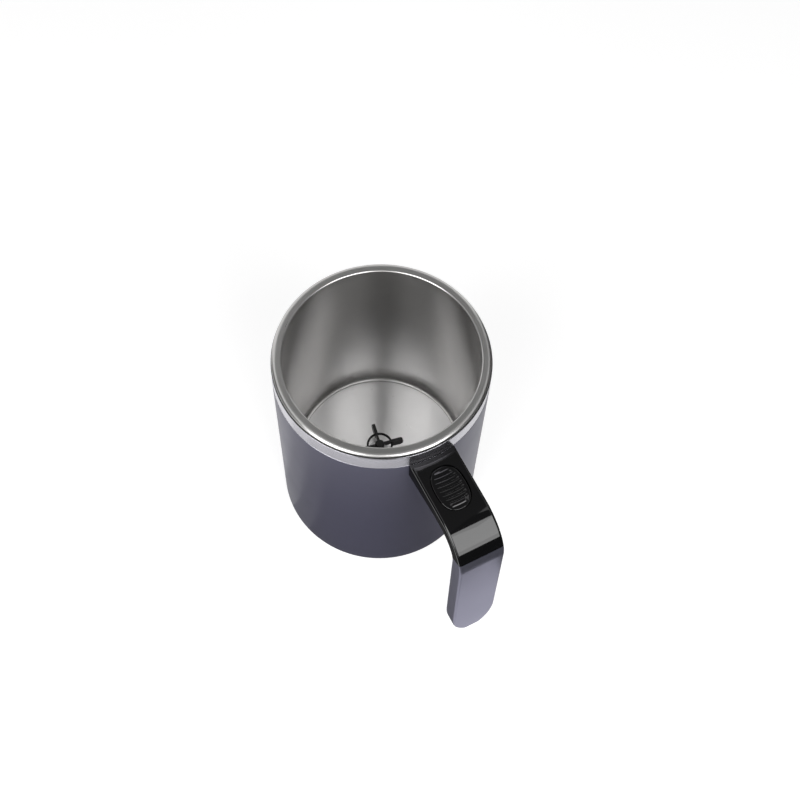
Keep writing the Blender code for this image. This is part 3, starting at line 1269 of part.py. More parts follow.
def make_under_cover(materials):
    """The plate that closes the arm from below and carries the switch board on two posts."""
    start = FRAME_POCKET_START + SEAT_GAP
    end = FRAME_POCKET_END - SEAT_GAP
    xs = [start, BODY_RADIUS + ARM_TAPER_REACH, end]
    outline = [(x, under_line(x) + UNDER_COVER_THICKNESS) for x in xs]
    outline += [(x, under_line(x)) for x in reversed(xs)]
    width = HANDLE_WIDTH - 2 * FRAME_SIDE_WALL - 2 * SEAT_GAP
    cover = finish_mesh("handle_under_cover", side_prism(outline, width), materials["black_gloss"])
    post_top = BOARD_TOP - BOARD_THICKNESS - SEAT_GAP
    post_x = BOARD_START + UNDER_POST_RADIUS
    for side in (-1, 1):
        y = side * (BOARD_WIDTH / 2 - UNDER_POST_RADIUS)
        join(cover, "post", disc(
            UNDER_POST_RADIUS, under_line(post_x) + UNDER_COVER_THICKNESS / 2, post_top,
            SEGMENTS_TINY, (post_x, y)))
    reach = COVER_SCREW_HEAD_RADIUS + SEAT_GAP + UNDER_COVER_SEAT_RIM
    for x in (COVER_SCREW_NEAR_X, COVER_SCREW_FAR_X):
        seat = cover_seat(x)
        low = under_line(x)
        join(cover, "screw_seat", cuboid(
            (max(x - reach, start), -reach, low + UNDER_COVER_THICKNESS / 2),
            (min(x + reach, end), reach, seat + UNDER_COVER_SEAT_WALL)))
        cut(cover, "head_recess", disc(
            COVER_SCREW_HEAD_RADIUS + SEAT_GAP, low - CUT_OVERRUN / 2, seat,
            SEGMENTS_TINY, (x, 0)))
        cut(cover, "screw_hole", disc(
            COVER_SCREW_RADIUS + SEAT_GAP, low - CUT_OVERRUN / 2, seat + CUT_OVERRUN / 2,
            SEGMENTS_TINY, (x, 0)))
    return cover


def make_cover_screws(materials):
    """The two screws under the arm."""
    names = ("under_cover_screw_near", "under_cover_screw_far")
    for name, x in zip(names, (COVER_SCREW_NEAR_X, COVER_SCREW_FAR_X)):
        head = cover_seat(x) - SEAT_GAP
        length = SEAT_GAP + UNDER_COVER_SEAT_WALL + SEAT_GAP + COVER_SCREW_GRIP
        screw = screw_mesh(
            COVER_SCREW_RADIUS, COVER_SCREW_HEAD_RADIUS, COVER_SCREW_HEAD_HEIGHT, length)
        flip = Matrix.Rotation(math.pi, 4, "X")
        place = Matrix.Translation((x, 0, head)) @ flip
        finish_mesh(name, screw, materials["plain_steel"], place)


def make_handle_screws(materials):
    """Two screws from inside the shell into the handle's root."""
    seat = math.sqrt(SHELL_INNER ** 2 - (HANDLE_SCREW_OFFSET + HANDLE_SCREW_HEAD_RADIUS) ** 2)
    seat -= SEAT_GAP
    for name, side in (("handle_screw_left", 1), ("handle_screw_right", -1)):
        screw = screw_mesh(
            HANDLE_SCREW_RADIUS, HANDLE_SCREW_HEAD_RADIUS, HANDLE_SCREW_HEAD_HEIGHT,
            HANDLE_SCREW_END - seat)
        turn = Matrix.Rotation(-math.pi / 2, 4, "Y")
        place = Matrix.Translation((seat, side * HANDLE_SCREW_OFFSET, HANDLE_SCREW_LEVEL))
        finish_mesh(name, screw, materials["plain_steel"], place @ turn)


# Thumb switch

def button_outline(grow, centre=0):
    """Plan of the thumb button, a soft oval, grown all round by a clearance."""
    half_length = BUTTON_LENGTH / 2 + grow
    half_width = BUTTON_WIDTH / 2 + grow
    power = 2 / BUTTON_CURVE_SHARE
    outline = []
    for step in range(SEGMENTS_BUTTON):
        angle = math.tau * step / SEGMENTS_BUTTON
        x = math.copysign(abs(math.cos(angle)) ** power, math.cos(angle))
        y = math.copysign(abs(math.sin(angle)) ** power, math.sin(angle))
        outline.append((centre + half_length * x, half_width * y))
    return outline


def button_half_width(x):
    """Half width of the button's plan at an offset from its middle."""
    share = min(1, abs(x) / (BUTTON_LENGTH / 2))
    return BUTTON_WIDTH / 2 * (1 - share ** BUTTON_CURVE_SHARE) ** (1 / BUTTON_CURVE_SHARE)


def low_rib(points, half_width, height):
    """A rib along the points: an oval section whose crown stands a height above them."""
    radii = (half_width, height + FACE_STEP)
    rings = []
    for x, y, z in points:
        section = arc((x, z - FACE_STEP), radii, 0, math.tau, RIB_SIDES)[:-1]
        rings.append([(across, y, level) for across, level in section])
    return lofted(rings)


def make_thumb_button(materials):
    """The thumb button: an oval cap with bowed ribs, a flange that keeps it in, and a stem."""
    top = BUTTON_TOP
    levels = [
        (BUTTON_FLANGE_REACH, BUTTON_SKIRT_LOW),
        (BUTTON_FLANGE_REACH, BUTTON_FLANGE_TOP),
        (0, BUTTON_FLANGE_TOP),
        (0, top - BUTTON_EDGE_ROUND),
        (-BUTTON_EDGE_ROUND, top),
    ]
    rings = [[(x, y, z) for x, y in button_outline(grow)] for grow, z in levels]
    place = Matrix.Translation((BUTTON_X, 0, 0))
    button = finish_mesh("thumb_button", lofted(rings), materials["black_gloss"], place)
    hollow = prism(
        button_outline(-BUTTON_SKIRT_WALL), BUTTON_SKIRT_LOW - CUT_OVERRUN, top - BUTTON_CAP)
    cut(button, "hollow", hollow)
    cap_under = top - BUTTON_CAP
    join(button, "stem", disc(
        STEM_RADIUS, STEM_LOW, cap_under + BUTTON_CAP / 2, SEGMENTS_SMALL, (-SWITCH_OFFSET, 0)))
    for rib in range(BUTTON_RIBS):
        offset = (rib - (BUTTON_RIBS - 1) / 2) * BUTTON_RIB_PITCH
        last = rib == BUTTON_RIBS - 1
        width = BUTTON_STOP_HALF_WIDTH if last else BUTTON_RIB_HALF_WIDTH
        height = BUTTON_STOP_HEIGHT if last else BUTTON_RIB_HEIGHT
        reach = button_half_width(abs(offset) + width) - BUTTON_RIB_MARGIN
        points = []
        for share in span(-1, 1, RIB_STEPS):
            bow = BUTTON_RIB_BOW * (share * reach / (BUTTON_WIDTH / 2)) ** 2
            points.append((offset - bow, share * reach, top))
        join(button, "rib", low_rib(points, width, height))
    return button


def make_switch(materials):
    """The press switch on its board, and the spring that lifts the button again."""
    board = cuboid(
        (BOARD_START, -BOARD_WIDTH / 2, BOARD_TOP - BOARD_THICKNESS),
        (BOARD_START + BOARD_LENGTH, BOARD_WIDTH / 2, BOARD_TOP))
    finish_mesh("switch_board", board, materials["board"])
    half = SWITCH_SIZE / 2
    body = finish_mesh("push_switch", cuboid(
        (SWITCH_X - half, -half, SWITCH_BOTTOM), (SWITCH_X + half, half, SWITCH_TOP)),
        materials["black_plastic"])
    cut(body, "bore", disc(
        STEM_RADIUS + SEAT_GAP, SWITCH_TOP - SWITCH_BORE_DEPTH, SWITCH_TOP + CUT_OVERRUN,
        SEGMENTS_SMALL, (SWITCH_X, 0)))
    low = BOARD_TOP + SEAT_GAP + BUTTON_SPRING_WIRE_RADIUS
    high = BUTTON_TOP - BUTTON_CAP - SEAT_GAP - BUTTON_SPRING_WIRE_RADIUS
    coil = tube_along(
        helix(BUTTON_SPRING_RADIUS, BUTTON_SPRING_RADIUS, low, high, BUTTON_SPRING_TURNS),
        BUTTON_SPRING_WIRE_RADIUS, SPRING_SIDES)
    place = Matrix.Translation((SWITCH_X, 0, 0))
    finish_mesh("button_spring", coil, materials["plain_steel"], place)


# Wires

def make_wires(materials):
    """Two wires from the switch board, down between the mug's walls, to the motor's lugs."""
    gap_radius = (CUP_OUTER + SHELL_INNER) / 2
    lug_x = MOTOR_RADIUS + MOTOR_LUG_REACH + SEAT_GAP
    lug_z = MOTOR_CAP_TOP - FACE_STEP - MOTOR_LUG_THICKNESS / 2
    bend = BODY_RADIUS - gap_radius
    for name, side, material in (
            ("switch_wire_left", 1, "red_wire"), ("switch_wire_right", -1, "black_wire")):
        y = side * WIRE_SPACING / 2
        wall_x = math.sqrt(gap_radius ** 2 - y ** 2)
        hole_x = WIRE_HOLE_RADIUS
        points = [
            (BOARD_START - SEAT_GAP, y, WIRE_LEVEL),
            (BODY_RADIUS + bend, y, WIRE_LEVEL),
            (SHELL_INNER, y, WIRE_LEVEL),
            (wall_x + WIRE_RADIUS / 2, y, WIRE_LEVEL - 2 * WIRE_RADIUS),
            (wall_x, y, WIRE_LEVEL - 2 * bend),
            (wall_x, y, WIRE_LEVEL - 4 * bend),
            (wall_x, y, (WIRE_LEVEL + WIRE_BASE_LEVEL) / 2),
            (wall_x, y, WIRE_BASE_LEVEL + 4 * bend),
            (wall_x, y, WIRE_BASE_LEVEL + bend),
            (wall_x - bend, y, WIRE_BASE_LEVEL),
            (hole_x + bend, y, WIRE_BASE_LEVEL),
            (hole_x, y, PLATE_TOP),
            (hole_x, y, PLATE_BOTTOM),
            (hole_x - bend, y, (PLATE_BOTTOM + lug_z) / 2),
            (lug_x + 2 * bend, y, lug_z + 2 * WIRE_RADIUS),
            (lug_x, y, lug_z),
        ]
        route = smooth_route(points, ROUTE_STEPS)
        finish_mesh(name, tube_along(route, WIRE_RADIUS, WIRE_SIDES), materials[material])


def build():
    for item in list(bpy.data.objects):
        bpy.data.objects.remove(item)
    materials = make_materials()
    make_inner_cup(materials)
    make_outer_shell(materials)
    make_shaft_passage(materials)
    make_stirrer(materials)
    make_motor_case(materials)
    make_motor_cap(materials)
    make_magnets(materials)
    make_armature(materials)
    make_shaft(materials)
    make_motor_screws(materials)
    make_base_housing(materials)
    make_cells(materials)
    make_cell_contacts(materials)
    make_bottom_cover(materials)
    make_cover_seal(materials)
    make_pad(materials)
    make_handle_frame(materials)
    make_grip_sleeve(materials)
    make_grip_screw(materials)
    make_under_cover(materials)
    make_cover_screws(materials)
    make_handle_screws(materials)
    make_thumb_button(materials)
    make_switch(materials)
    make_wires(materials)


build()
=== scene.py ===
"""Looks of the self-stirring mug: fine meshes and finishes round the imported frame, lights and camera.

Lengths are in metres, in the part's own frame: the origin is on the mug's axis at the plane it
stands on, +Z is up and the handle points along +X.
"""

import json
import math

import bmesh
import bpy
from mathutils import Matrix, Vector

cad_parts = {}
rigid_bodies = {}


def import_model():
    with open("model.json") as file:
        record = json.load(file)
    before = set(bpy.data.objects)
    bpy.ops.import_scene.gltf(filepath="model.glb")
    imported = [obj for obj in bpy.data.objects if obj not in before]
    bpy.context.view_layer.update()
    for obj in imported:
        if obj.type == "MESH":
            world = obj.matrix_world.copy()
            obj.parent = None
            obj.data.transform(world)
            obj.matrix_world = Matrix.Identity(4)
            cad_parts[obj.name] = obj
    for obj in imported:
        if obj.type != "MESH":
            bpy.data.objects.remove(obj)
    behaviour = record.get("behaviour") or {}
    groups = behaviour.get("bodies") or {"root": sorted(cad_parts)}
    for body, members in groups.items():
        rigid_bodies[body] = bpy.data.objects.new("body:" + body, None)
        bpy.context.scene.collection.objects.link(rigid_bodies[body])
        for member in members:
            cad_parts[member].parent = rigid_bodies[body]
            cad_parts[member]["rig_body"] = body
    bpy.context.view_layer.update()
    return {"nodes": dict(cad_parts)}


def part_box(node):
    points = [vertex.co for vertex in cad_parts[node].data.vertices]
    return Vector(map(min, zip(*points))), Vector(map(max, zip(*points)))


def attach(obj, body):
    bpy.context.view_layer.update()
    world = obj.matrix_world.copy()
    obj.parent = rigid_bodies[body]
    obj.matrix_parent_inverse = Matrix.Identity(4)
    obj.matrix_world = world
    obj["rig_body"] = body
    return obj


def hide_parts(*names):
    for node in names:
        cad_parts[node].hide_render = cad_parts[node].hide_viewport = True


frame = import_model()
NODES = frame["nodes"]

# Clearances and mesh tolerances
SEAT_GAP = 0.0003
RUNNING_GAP = 0.0001
CUT_OVERRUN = 0.004
MERGE_DISTANCE = 0.000003
SHARP_ANGLE = math.radians(32.0)
BEVEL_ANGLE = math.radians(35.0)

# Sizes read from the frame
SHELL_LOW, SHELL_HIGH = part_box("outer_shell")
CUP_LOW, CUP_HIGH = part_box("inner_cup")
FRAME_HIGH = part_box("handle_frame")[1]
WHEEL_LOW, WHEEL_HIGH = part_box("stirrer_wheel")
BUSH_LOW, BUSH_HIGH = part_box("floor_bush")
COVER_LOW, COVER_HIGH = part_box("bottom_cover")
PAD_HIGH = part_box("non_slip_pad")[1]
BODY_RADIUS = SHELL_HIGH.y
BODY_HEIGHT = CUP_HIGH.z
RIM_RADIUS = CUP_HIGH.y

# Mug body
PAINT_DEPTH = 0.0001
BAND_HEIGHT = 0.0098
PAINT_EDGE = 0.00025
SHELL_WALL = 0.0006
SHELL_FOOT_ROUND = 0.0012
SHELL_FOOT_LIP = 0.0023
CUP_WALL = 0.0006
RIM_WIDTH = 0.0038
RIM_OUTER_ROUND = 0.0009
RIM_SLOPE = 0.0017
RIM_INNER_ROUND = 0.0006
RIM_FLAT_MARGIN = 0.0001
BAND_EDGE = 0.00045
RIM_SKIRT = 0.0010
RIM_GROOVE = 0.0008
RIM_HOOK = 0.0006
FLOOR_FILLET_WIDTH = 0.0032
FLOOR_FILLET_HEIGHT = 0.0080
SHELL_INNER = BODY_RADIUS - PAINT_DEPTH - SHELL_WALL
OPENING_RADIUS = RIM_RADIUS - RIM_WIDTH
FLOOR_RADIUS = OPENING_RADIUS - FLOOR_FILLET_WIDTH
FLOOR_HEIGHT = CUP_LOW.z + CUP_WALL

# Shaft passage
SHAFT_RADIUS = 0.0010
BUSH_WALL = 0.0021
BUSH_EDGE_ROUND = 0.0003
BUSH_FLANGE_THICKNESS = 0.0010
SEAL_WALL = 0.0012
SEAL_DEPTH = 0.0014
SHAFT_BORE = SHAFT_RADIUS + RUNNING_GAP
BUSH_RADIUS = SHAFT_BORE + BUSH_WALL
PRESSED_BORE = SHAFT_RADIUS + SEAT_GAP

# Stirrer
STIRRER_ARMS = 4
STIRRER_ARM_ANGLE = math.radians(-10.5)
STIRRER_RADIUS = 0.0105
STIRRER_HUB_RISE = 0.0004
STIRRER_HUB_WALL = 0.0007
STIRRER_HUB_DOME = 0.0006
STIRRER_BORE_WALL = 0.0010
STIRRER_RING_RADIUS = 0.0057
STIRRER_RING_WIDTH = 0.0009
STIRRER_RING_HEIGHT = 0.0016
STIRRER_SPOKE_WIDTH = 0.0010
STIRRER_SPOKE_HEIGHT = 0.0021
STIRRER_PADDLE_WIDTH = 0.0013
STIRRER_PADDLE_HEIGHT = 0.0044
STIRRER_PADDLE_ROUND = 0.0015
STIRRER_EDGE = 0.00018
STIRRER_TOP = WHEEL_HIGH.z - STIRRER_HUB_RISE

# Handle
HANDLE_TOP = FRAME_HIGH.z
HANDLE_WIDTH = 2 * FRAME_HIGH.y
HANDLE_DEPTH = 0.0080
HANDLE_SHOULDER_X = 0.0664
HANDLE_SHOULDER_RADIUS = 0.0172
HANDLE_LEAN = math.radians(1.8)
HANDLE_SEAM_ANGLE = math.radians(22.8)
HANDLE_OUTER_ROUND = 0.0011
HANDLE_INNER_ROUND = 0.0026
ROUND_WIDTH_SHARE = 0.9
ROUND_DEPTH_SHARE = 0.45
HANDLE_BOTTOM = 0.0136
ARM_ROOT_DEPTH = 0.0110
ARM_TAPER_X = 0.0620
TONGUE_LENGTH = 0.0170
TONGUE_EDGE_ROUND = 0.0018
ROOT_RADIUS = BODY_RADIUS + SEAT_GAP
ROOT_STEP_WIDTH = 0.0017
ROOT_STEP_DEPTH = 0.0005
SHOULDER_CENTRE_Z = HANDLE_TOP - HANDLE_SHOULDER_RADIUS
SHOULDER_SWEEP = math.pi / 2 - HANDLE_LEAN

# Inside of the handle
FRAME_TOP_WALL = 0.0016
FRAME_SIDE_WALL = 0.0020
FRAME_ROOT_WALL = 0.0030
FRAME_POCKET_START = ROOT_RADIUS + FRAME_ROOT_WALL
FRAME_POCKET_END = 0.0676
SLEEVE_WALL = 0.0014
SPINE_ROUND = 0.0004
SLEEVE_INNER_WALL = 0.0022
SPINE_END = 0.0300
SPINE_ROOT_OVERLAP = math.radians(7.0)
GRIP_SCREW_LEVEL = 0.0480
GRIP_SCREW_RADIUS = 0.0010
GRIP_SCREW_HEAD_RADIUS = 0.0021
GRIP_SCREW_HEAD_HEIGHT = 0.0011

# Thumb button
BUTTON_X = 0.0565
BUTTON_LENGTH = 0.0182
BUTTON_WIDTH = 0.0126
BUTTON_CURVE_SHARE = 2.5
BUTTON_CROWN_DROP = 0.0002
BUTTON_CAP = 0.0013
BUTTON_SKIRT_WALL = 0.0011
BUTTON_FLANGE_REACH = 0.0008
BUTTON_FLANGE_HEIGHT = 0.0008
BUTTON_EDGE_ROUND = 0.0004
BUTTON_RIBS = 8
BUTTON_RIB_PITCH = 0.00187
BUTTON_RIB_HALF_WIDTH = 0.00085
BUTTON_RIB_HEIGHT = 0.00014
BUTTON_RIB_END_SHARE = 0.3
BUTTON_RIB_BOW = 0.0007
BUTTON_RIB_MARGIN = 0.0008
BUTTON_STOP_HALF_WIDTH = 0.00095
BUTTON_STOP_HEIGHT = 0.00034
BUTTON_RIB_SINK = 0.0002
BUTTON_TOP = HANDLE_TOP - BUTTON_CROWN_DROP
STEM_RADIUS = 0.00142
STEM_LENGTH = 0.0023
SWITCH_OFFSET = 0.0015

# Bottom cover and pad
COVER_RADIUS = 0.0398
COVER_THICKNESS = 0.0023
COVER_EDGE_ROUND = 0.0004
COVER_SKIRT_RADIUS = 0.0389
COVER_SKIRT_WALL = 0.0016
COVER_LUGS = 3
COVER_LUG_ANGLE = math.radians(20.0)
COVER_LUG_HEIGHT = 0.0012
COVER_LUG_STEP = 0.0002
COVER_RIB_RADIUS = 0.0200
COVER_RIB_WALL = 0.0014
COVER_RIB_HEIGHT = 0.00125
FINGER_RECESS_MARGIN = 0.0031
FINGER_RECESS_WIDTH = 0.0065
FINGER_RECESS_ANGLE = math.radians(50.0)
FINGER_RECESS_DEPTH = 0.0011
PAD_EDGE_ROUND = 0.0003

# Camera, fitted to the photograph's own outlines
IMAGE_SIDE = 800
SENSOR_WIDTH = 36.0
CLIP_NEAR = 0.01
CLIP_FAR = 50.0
CAMERA_FOCAL_PIXELS = 1261.1
CAMERA_PLACE = Vector((0.20601, -0.10977, 0.52766))
CAMERA_FORWARD = Vector((-0.39522, 0.22783, -0.88988))
CAMERA_UP = Vector((-0.79624, 0.39810, 0.45555))

# Stage and soft boxes, one on each side of the camera
FLOOR_SIZE = 6.0
FLOOR_DROP = 0.0002
FLOOR_PALE = 0.50
FLOOR_LIFT = 0.70
WORLD_FILL = 0.215
CAMERA_HEADING = math.radians(-30.0)
AIM = Vector((0.03, 0.0, 0.07))
BOX_PLACE = (0.618, 0.055, 0.485)
BOX_LEVEL = (0, 1, 0)
BOX_SIZE = (0.76, 0.49)
BOX_RADIANCE = 3.75

# Cards overhead: middle, width and length, heading, whether it stands upright, and glow
CEILING_BACK = 0.20
OVERHEAD_CARDS = {
    "ceiling_card": (
        (-CEILING_BACK * math.cos(CAMERA_HEADING), -CEILING_BACK * math.sin(CAMERA_HEADING), 1.3),
        (2.5, 0.84), CAMERA_HEADING, False, 0.13),
    "shoulder_card": ((0.5325, 0.362, 1.29), (0.60, 0.42), CAMERA_HEADING, False, 0.07),
}

# Parts of a ring on the floor round the foot, dimmer than the floor and seen only in reflections:
# painted shadow of the mug on the floor. Start and end in degrees, and glow
RING_CARD_INNER = 0.0415
RING_CARD_OUTER = 0.086
RING_CARD_LIFT = 0.001
RING_CARDS = {
    "front_shadow_card": (-75.0, 20.0, 0.27),
    "front_left_shadow_card": (-93.0, -75.0, 0.43),
    "far_left_shadow_card": (-113.0, -93.0, 0.74),
}

# Cards round the mug, with the same values as the cards overhead
SIDE_CARDS = {
    "rim_card": ((-0.06, 0.34, 0.0008), (0.28, 0.46), 0.0, False, 0.02),
    "low_card": ((0.56, 0.1, 0.001), (0.88, 1.2), 0.0, False, 0.02),
    "side_card": ((1.0, 0.1, 0.18), (1.2, 0.36), math.pi / 2, True, 0.02),
    "grip_card": ((0.115, 0.165, 0.001), (0.05, 0.27), 0.0, False, 0.05),
    "right_card": ((0.20, 0.97, 0.65), (1.6, 1.3), math.radians(165), True, 0.05),
    "left_card": ((-0.41, -0.91, 0.60), (1.2, 1.2), math.radians(-24), True, 0.05),
}

# Steel finished on a wheel: colour, roughness and stretch of the highlight
TURNED_STEELS = {
    "brushed_steel": ((0.585, 0.58, 0.572), 0.30, 0.6),
    # The wall and floor are the rim's own steel: the wall's darker copy is painted shade, the floor's
    # lighter copy a painted highlight.
    "wall_steel": ((0.45, 0.445, 0.44), 0.30, 0.6),
    "floor_steel": ((0.89, 0.885, 0.885), 0.30, 0.6),
    "steel_band": ((0.47, 0.463, 0.505), 0.24, 0.5),
}
TANGENT_TURN = 0.25

# Metallic paint: colour, share of metal, roughness and specular level
METALLIC_PAINTS = {
    "painted_steel": ((0.046, 0.045, 0.073), 0.1, 0.36, 0.24),
    "painted_plastic": ((0.132, 0.132, 0.167), 0.7, 0.30, 0.4),
}
PAINT_SHEEN = (0.86, 0.85, 1.0, 1.0)

# Moulded pieces: colour, roughness, grain, specular level and index of refraction
MOULDED_PIECES = {
    # groove_shade: near-black finish on the steel neck under the rim, painted shade of the groove.
    "groove_shade": ((0.012, 0.012, 0.012), 0.5, 0.05, 0.5, 1.5),
    "black_gloss": ((0.003, 0.003, 0.0033), 0.06, 0.01, 0.58, 1.5),
    # The arm's flat sides: a darker, barely reflecting copy of the black gloss, painted shade.
    "black_side": ((0.002, 0.002, 0.0022), 0.25, 0.02, 0.5, 1.08),
    "black_plastic": ((0.010, 0.010, 0.010), 0.42, 0.10, 0.5, 1.5),
    "rubber": ((0.024, 0.024, 0.025), 0.72, 0.25, 0.3, 1.5),
    "magnet": ((0.06, 0.06, 0.065), 0.55, 0.35, 0.5, 1.5),
    "red_wire": ((0.45, 0.02, 0.02), 0.42, 0.05, 0.5, 1.5),
    "black_wire": ((0.02, 0.02, 0.02), 0.42, 0.05, 0.5, 1.5),
}
GLOSS_SPREAD_SHARE = 0.2

# Bare metal, windings and board: colour and roughness
BARE_METALS = {
    "plain_steel": ((0.55, 0.55, 0.56), 0.30),
    "brass": ((0.72, 0.52, 0.22), 0.30),
    "cell_jacket": ((0.35, 0.36, 0.38), 0.32),
}
WINDINGS = {"copper": ((0.65, 0.28, 0.14), 0.32)}
BOARDS = {"board": ((0.03, 0.16, 0.07), 0.35)}
SCRATCH_SCALES = (900.0, 900.0, 5200.0)
WEAVE_FINE = 2600.0
WEAVE_COARSE = 300.0

# Least sideways normal of a face that counts as the flat side of the arm
FLAT_SIDE = 0.98

# Facets
SEGMENTS_BODY = 192
SEGMENTS_SMALL = 48
SEGMENTS_TINY = 20
SEGMENTS_BUTTON = 96
ARC_STEPS = 16
SWEEP_STEPS = 3 * ARC_STEPS
CORNER_STEPS = 8
RIB_SIDES = 16
RIB_STEPS = 12


# Mesh helpers

def add_object(name, data):
    """Put a new object with this data in the scene."""
    item = bpy.data.objects.new(name, data)
    bpy.context.scene.collection.objects.link(item)
    return item


def finish_mesh(name, mesh_data):
    """Make a smooth shaded object of a closed bmesh, with its faces outwards."""
    bmesh.ops.recalc_face_normals(mesh_data, faces=mesh_data.faces)
    if mesh_data.calc_volume(signed=True) < 0:
        bmesh.ops.reverse_faces(mesh_data, faces=mesh_data.faces)
    mesh = bpy.data.meshes.new(name)
    mesh_data.to_mesh(mesh)
    mesh_data.free()
    mesh.shade_smooth()
    mesh.set_sharp_from_angle(angle=SHARP_ANGLE)
    return add_object(name, mesh)


def turned(profile, segments, closed=True):
    """Turn a profile of (radius, height) points about Z. An open profile ends on the axis."""
    mesh_data = bmesh.new()
    corners = [mesh_data.verts.new((radius, 0, height)) for radius, height in profile]
    pairs = list(zip(corners, corners[1:]))
    if closed:
        pairs.append((corners[-1], corners[0]))
    edges = [mesh_data.edges.new(pair) for pair in pairs]
    bmesh.ops.spin(
        mesh_data,
        geom=corners + edges,
        cent=(0, 0, 0),
        axis=(0, 0, 1),
        angle=math.tau,
        steps=segments,
        use_merge=True,
    )
    bmesh.ops.remove_doubles(mesh_data, verts=mesh_data.verts, dist=MERGE_DISTANCE)
    return mesh_data


def lofted(rings):
    """Skin equal rings of points in order, and cap both ends."""
    mesh_data = bmesh.new()
    loops = [[mesh_data.verts.new(point) for point in ring] for ring in rings]
    count = len(loops[0])
    for near, far in zip(loops, loops[1:]):
        for index in range(count):
            follow = (index + 1) % count
            mesh_data.faces.new((near[index], near[follow], far[follow], far[index]))
    mesh_data.faces.new(loops[0])
    mesh_data.faces.new(loops[-1])
    return mesh_data


def prism(outline, low, high):
    """Extrude an outline of (x, y) points from one height to another."""
    return lofted([[(x, y, level) for x, y in outline] for level in (low, high)])


def cuboid(low, high):
    """A block between its lowest and highest corner."""
    outline = [(low[0], low[1]), (high[0], low[1]), (high[0], high[1]), (low[0], high[1])]
    return prism(outline, low[2], high[2])


def disc(radius, low, high, segments, centre=(0, 0)):
    """An upright cylinder between two heights."""
    angles = [math.tau * step / segments for step in range(segments)]
    outline = [
        (centre[0] + radius * math.cos(a), centre[1] + radius * math.sin(a)) for a in angles]
    return prism(outline, low, high)


def arc(centre, radii, start, end, steps):
    """Points (u, v) of an elliptical arc, both ends included."""
    angles = [start + (end - start) * step / steps for step in range(steps + 1)]
    return [
        (centre[0] + radii[0] * math.cos(a), centre[1] + radii[1] * math.sin(a)) for a in angles]


def rounding(centre, radius, start, end):
    """Points (u, v) of a round corner, both ends included."""
    return arc(centre, (radius, radius), start, end, CORNER_STEPS)


def span(start, end, steps):
    """Numbers at equal steps, both ends included."""
    return [start + (end - start) * step / steps for step in range(steps + 1)]


def sector(inner, outer, start, end, low, high):
    """A part of a ring between two radii, two angles and two heights."""
    angles = span(start, end, ARC_STEPS)
    outline = [(outer * math.cos(a), outer * math.sin(a)) for a in angles]
    outline += [(inner * math.cos(a), inner * math.sin(a)) for a in reversed(angles)]
    return prism(outline, low, high)


def softened(mesh_data, edge):
    """Round every sharp edge of a simple solid a little."""
    sharp = [e for e in mesh_data.edges if e.calc_face_angle(0) > BEVEL_ANGLE]
    bmesh.ops.bevel(
        mesh_data, geom=sharp, offset=edge, segments=2, profile=0.5, affect="EDGES")
    return mesh_data


def low_rib(points, half_width, height):
    """A soft rib that runs across the button and sinks into the cap at both ends."""
    rings = []
    last = len(points) - 1
    for index, (x, y, z) in enumerate(points):
        out = abs(2 * index / last - 1)
        end = max(0, out - 1 + BUTTON_RIB_END_SHARE) / BUTTON_RIB_END_SHARE
        rise = height * math.sqrt(1 - end ** 2)
        section = arc(
            (x, z - BUTTON_RIB_SINK), (half_width, rise + BUTTON_RIB_SINK), 0, math.tau,
            RIB_SIDES)[:-1]
        rings.append([(across, y, level) for across, level in section])
    return lofted(rings)


def combine(target, mesh_data, operation):
    """Join a shape to the target or cut it away, and keep only the result."""
    tool = finish_mesh("tool", mesh_data)
    modifier = target.modifiers.new("combine", "BOOLEAN")
    modifier.operation = operation
    modifier.solver = "EXACT"
    modifier.object = tool
    graph = bpy.context.evaluated_depsgraph_get()
    mesh = bpy.data.meshes.new_from_object(target.evaluated_get(graph))
    target.modifiers.clear()
    old = target.data
    target.data = mesh
    mesh.name = old.name
    bpy.data.meshes.remove(old)
    bpy.data.objects.remove(tool)


def join(target, mesh_data):
    """Add a shape to the target."""
    combine(target, mesh_data, "UNION")


def cut(target, mesh_data):
    """Take a shape out of the target."""
    combine(target, mesh_data, "DIFFERENCE")


def settle(item, materials, slot, *nodes):
    """Finish a piece: its shading, its material, its body and the nodes that it stands for."""
    mesh = item.data
    mesh.materials.clear()
    mesh.materials.append(materials[slot])
    mesh.shade_smooth()
    mesh.set_sharp_from_angle(angle=SHARP_ANGLE)
    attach(item, NODES[nodes[0]]["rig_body"])
    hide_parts(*nodes)


def add_finish(item, material):
    """Give a piece one more material, for some of its faces, and say its index."""
    item.data.materials.append(material)
    return len(item.data.materials) - 1


# Mug body

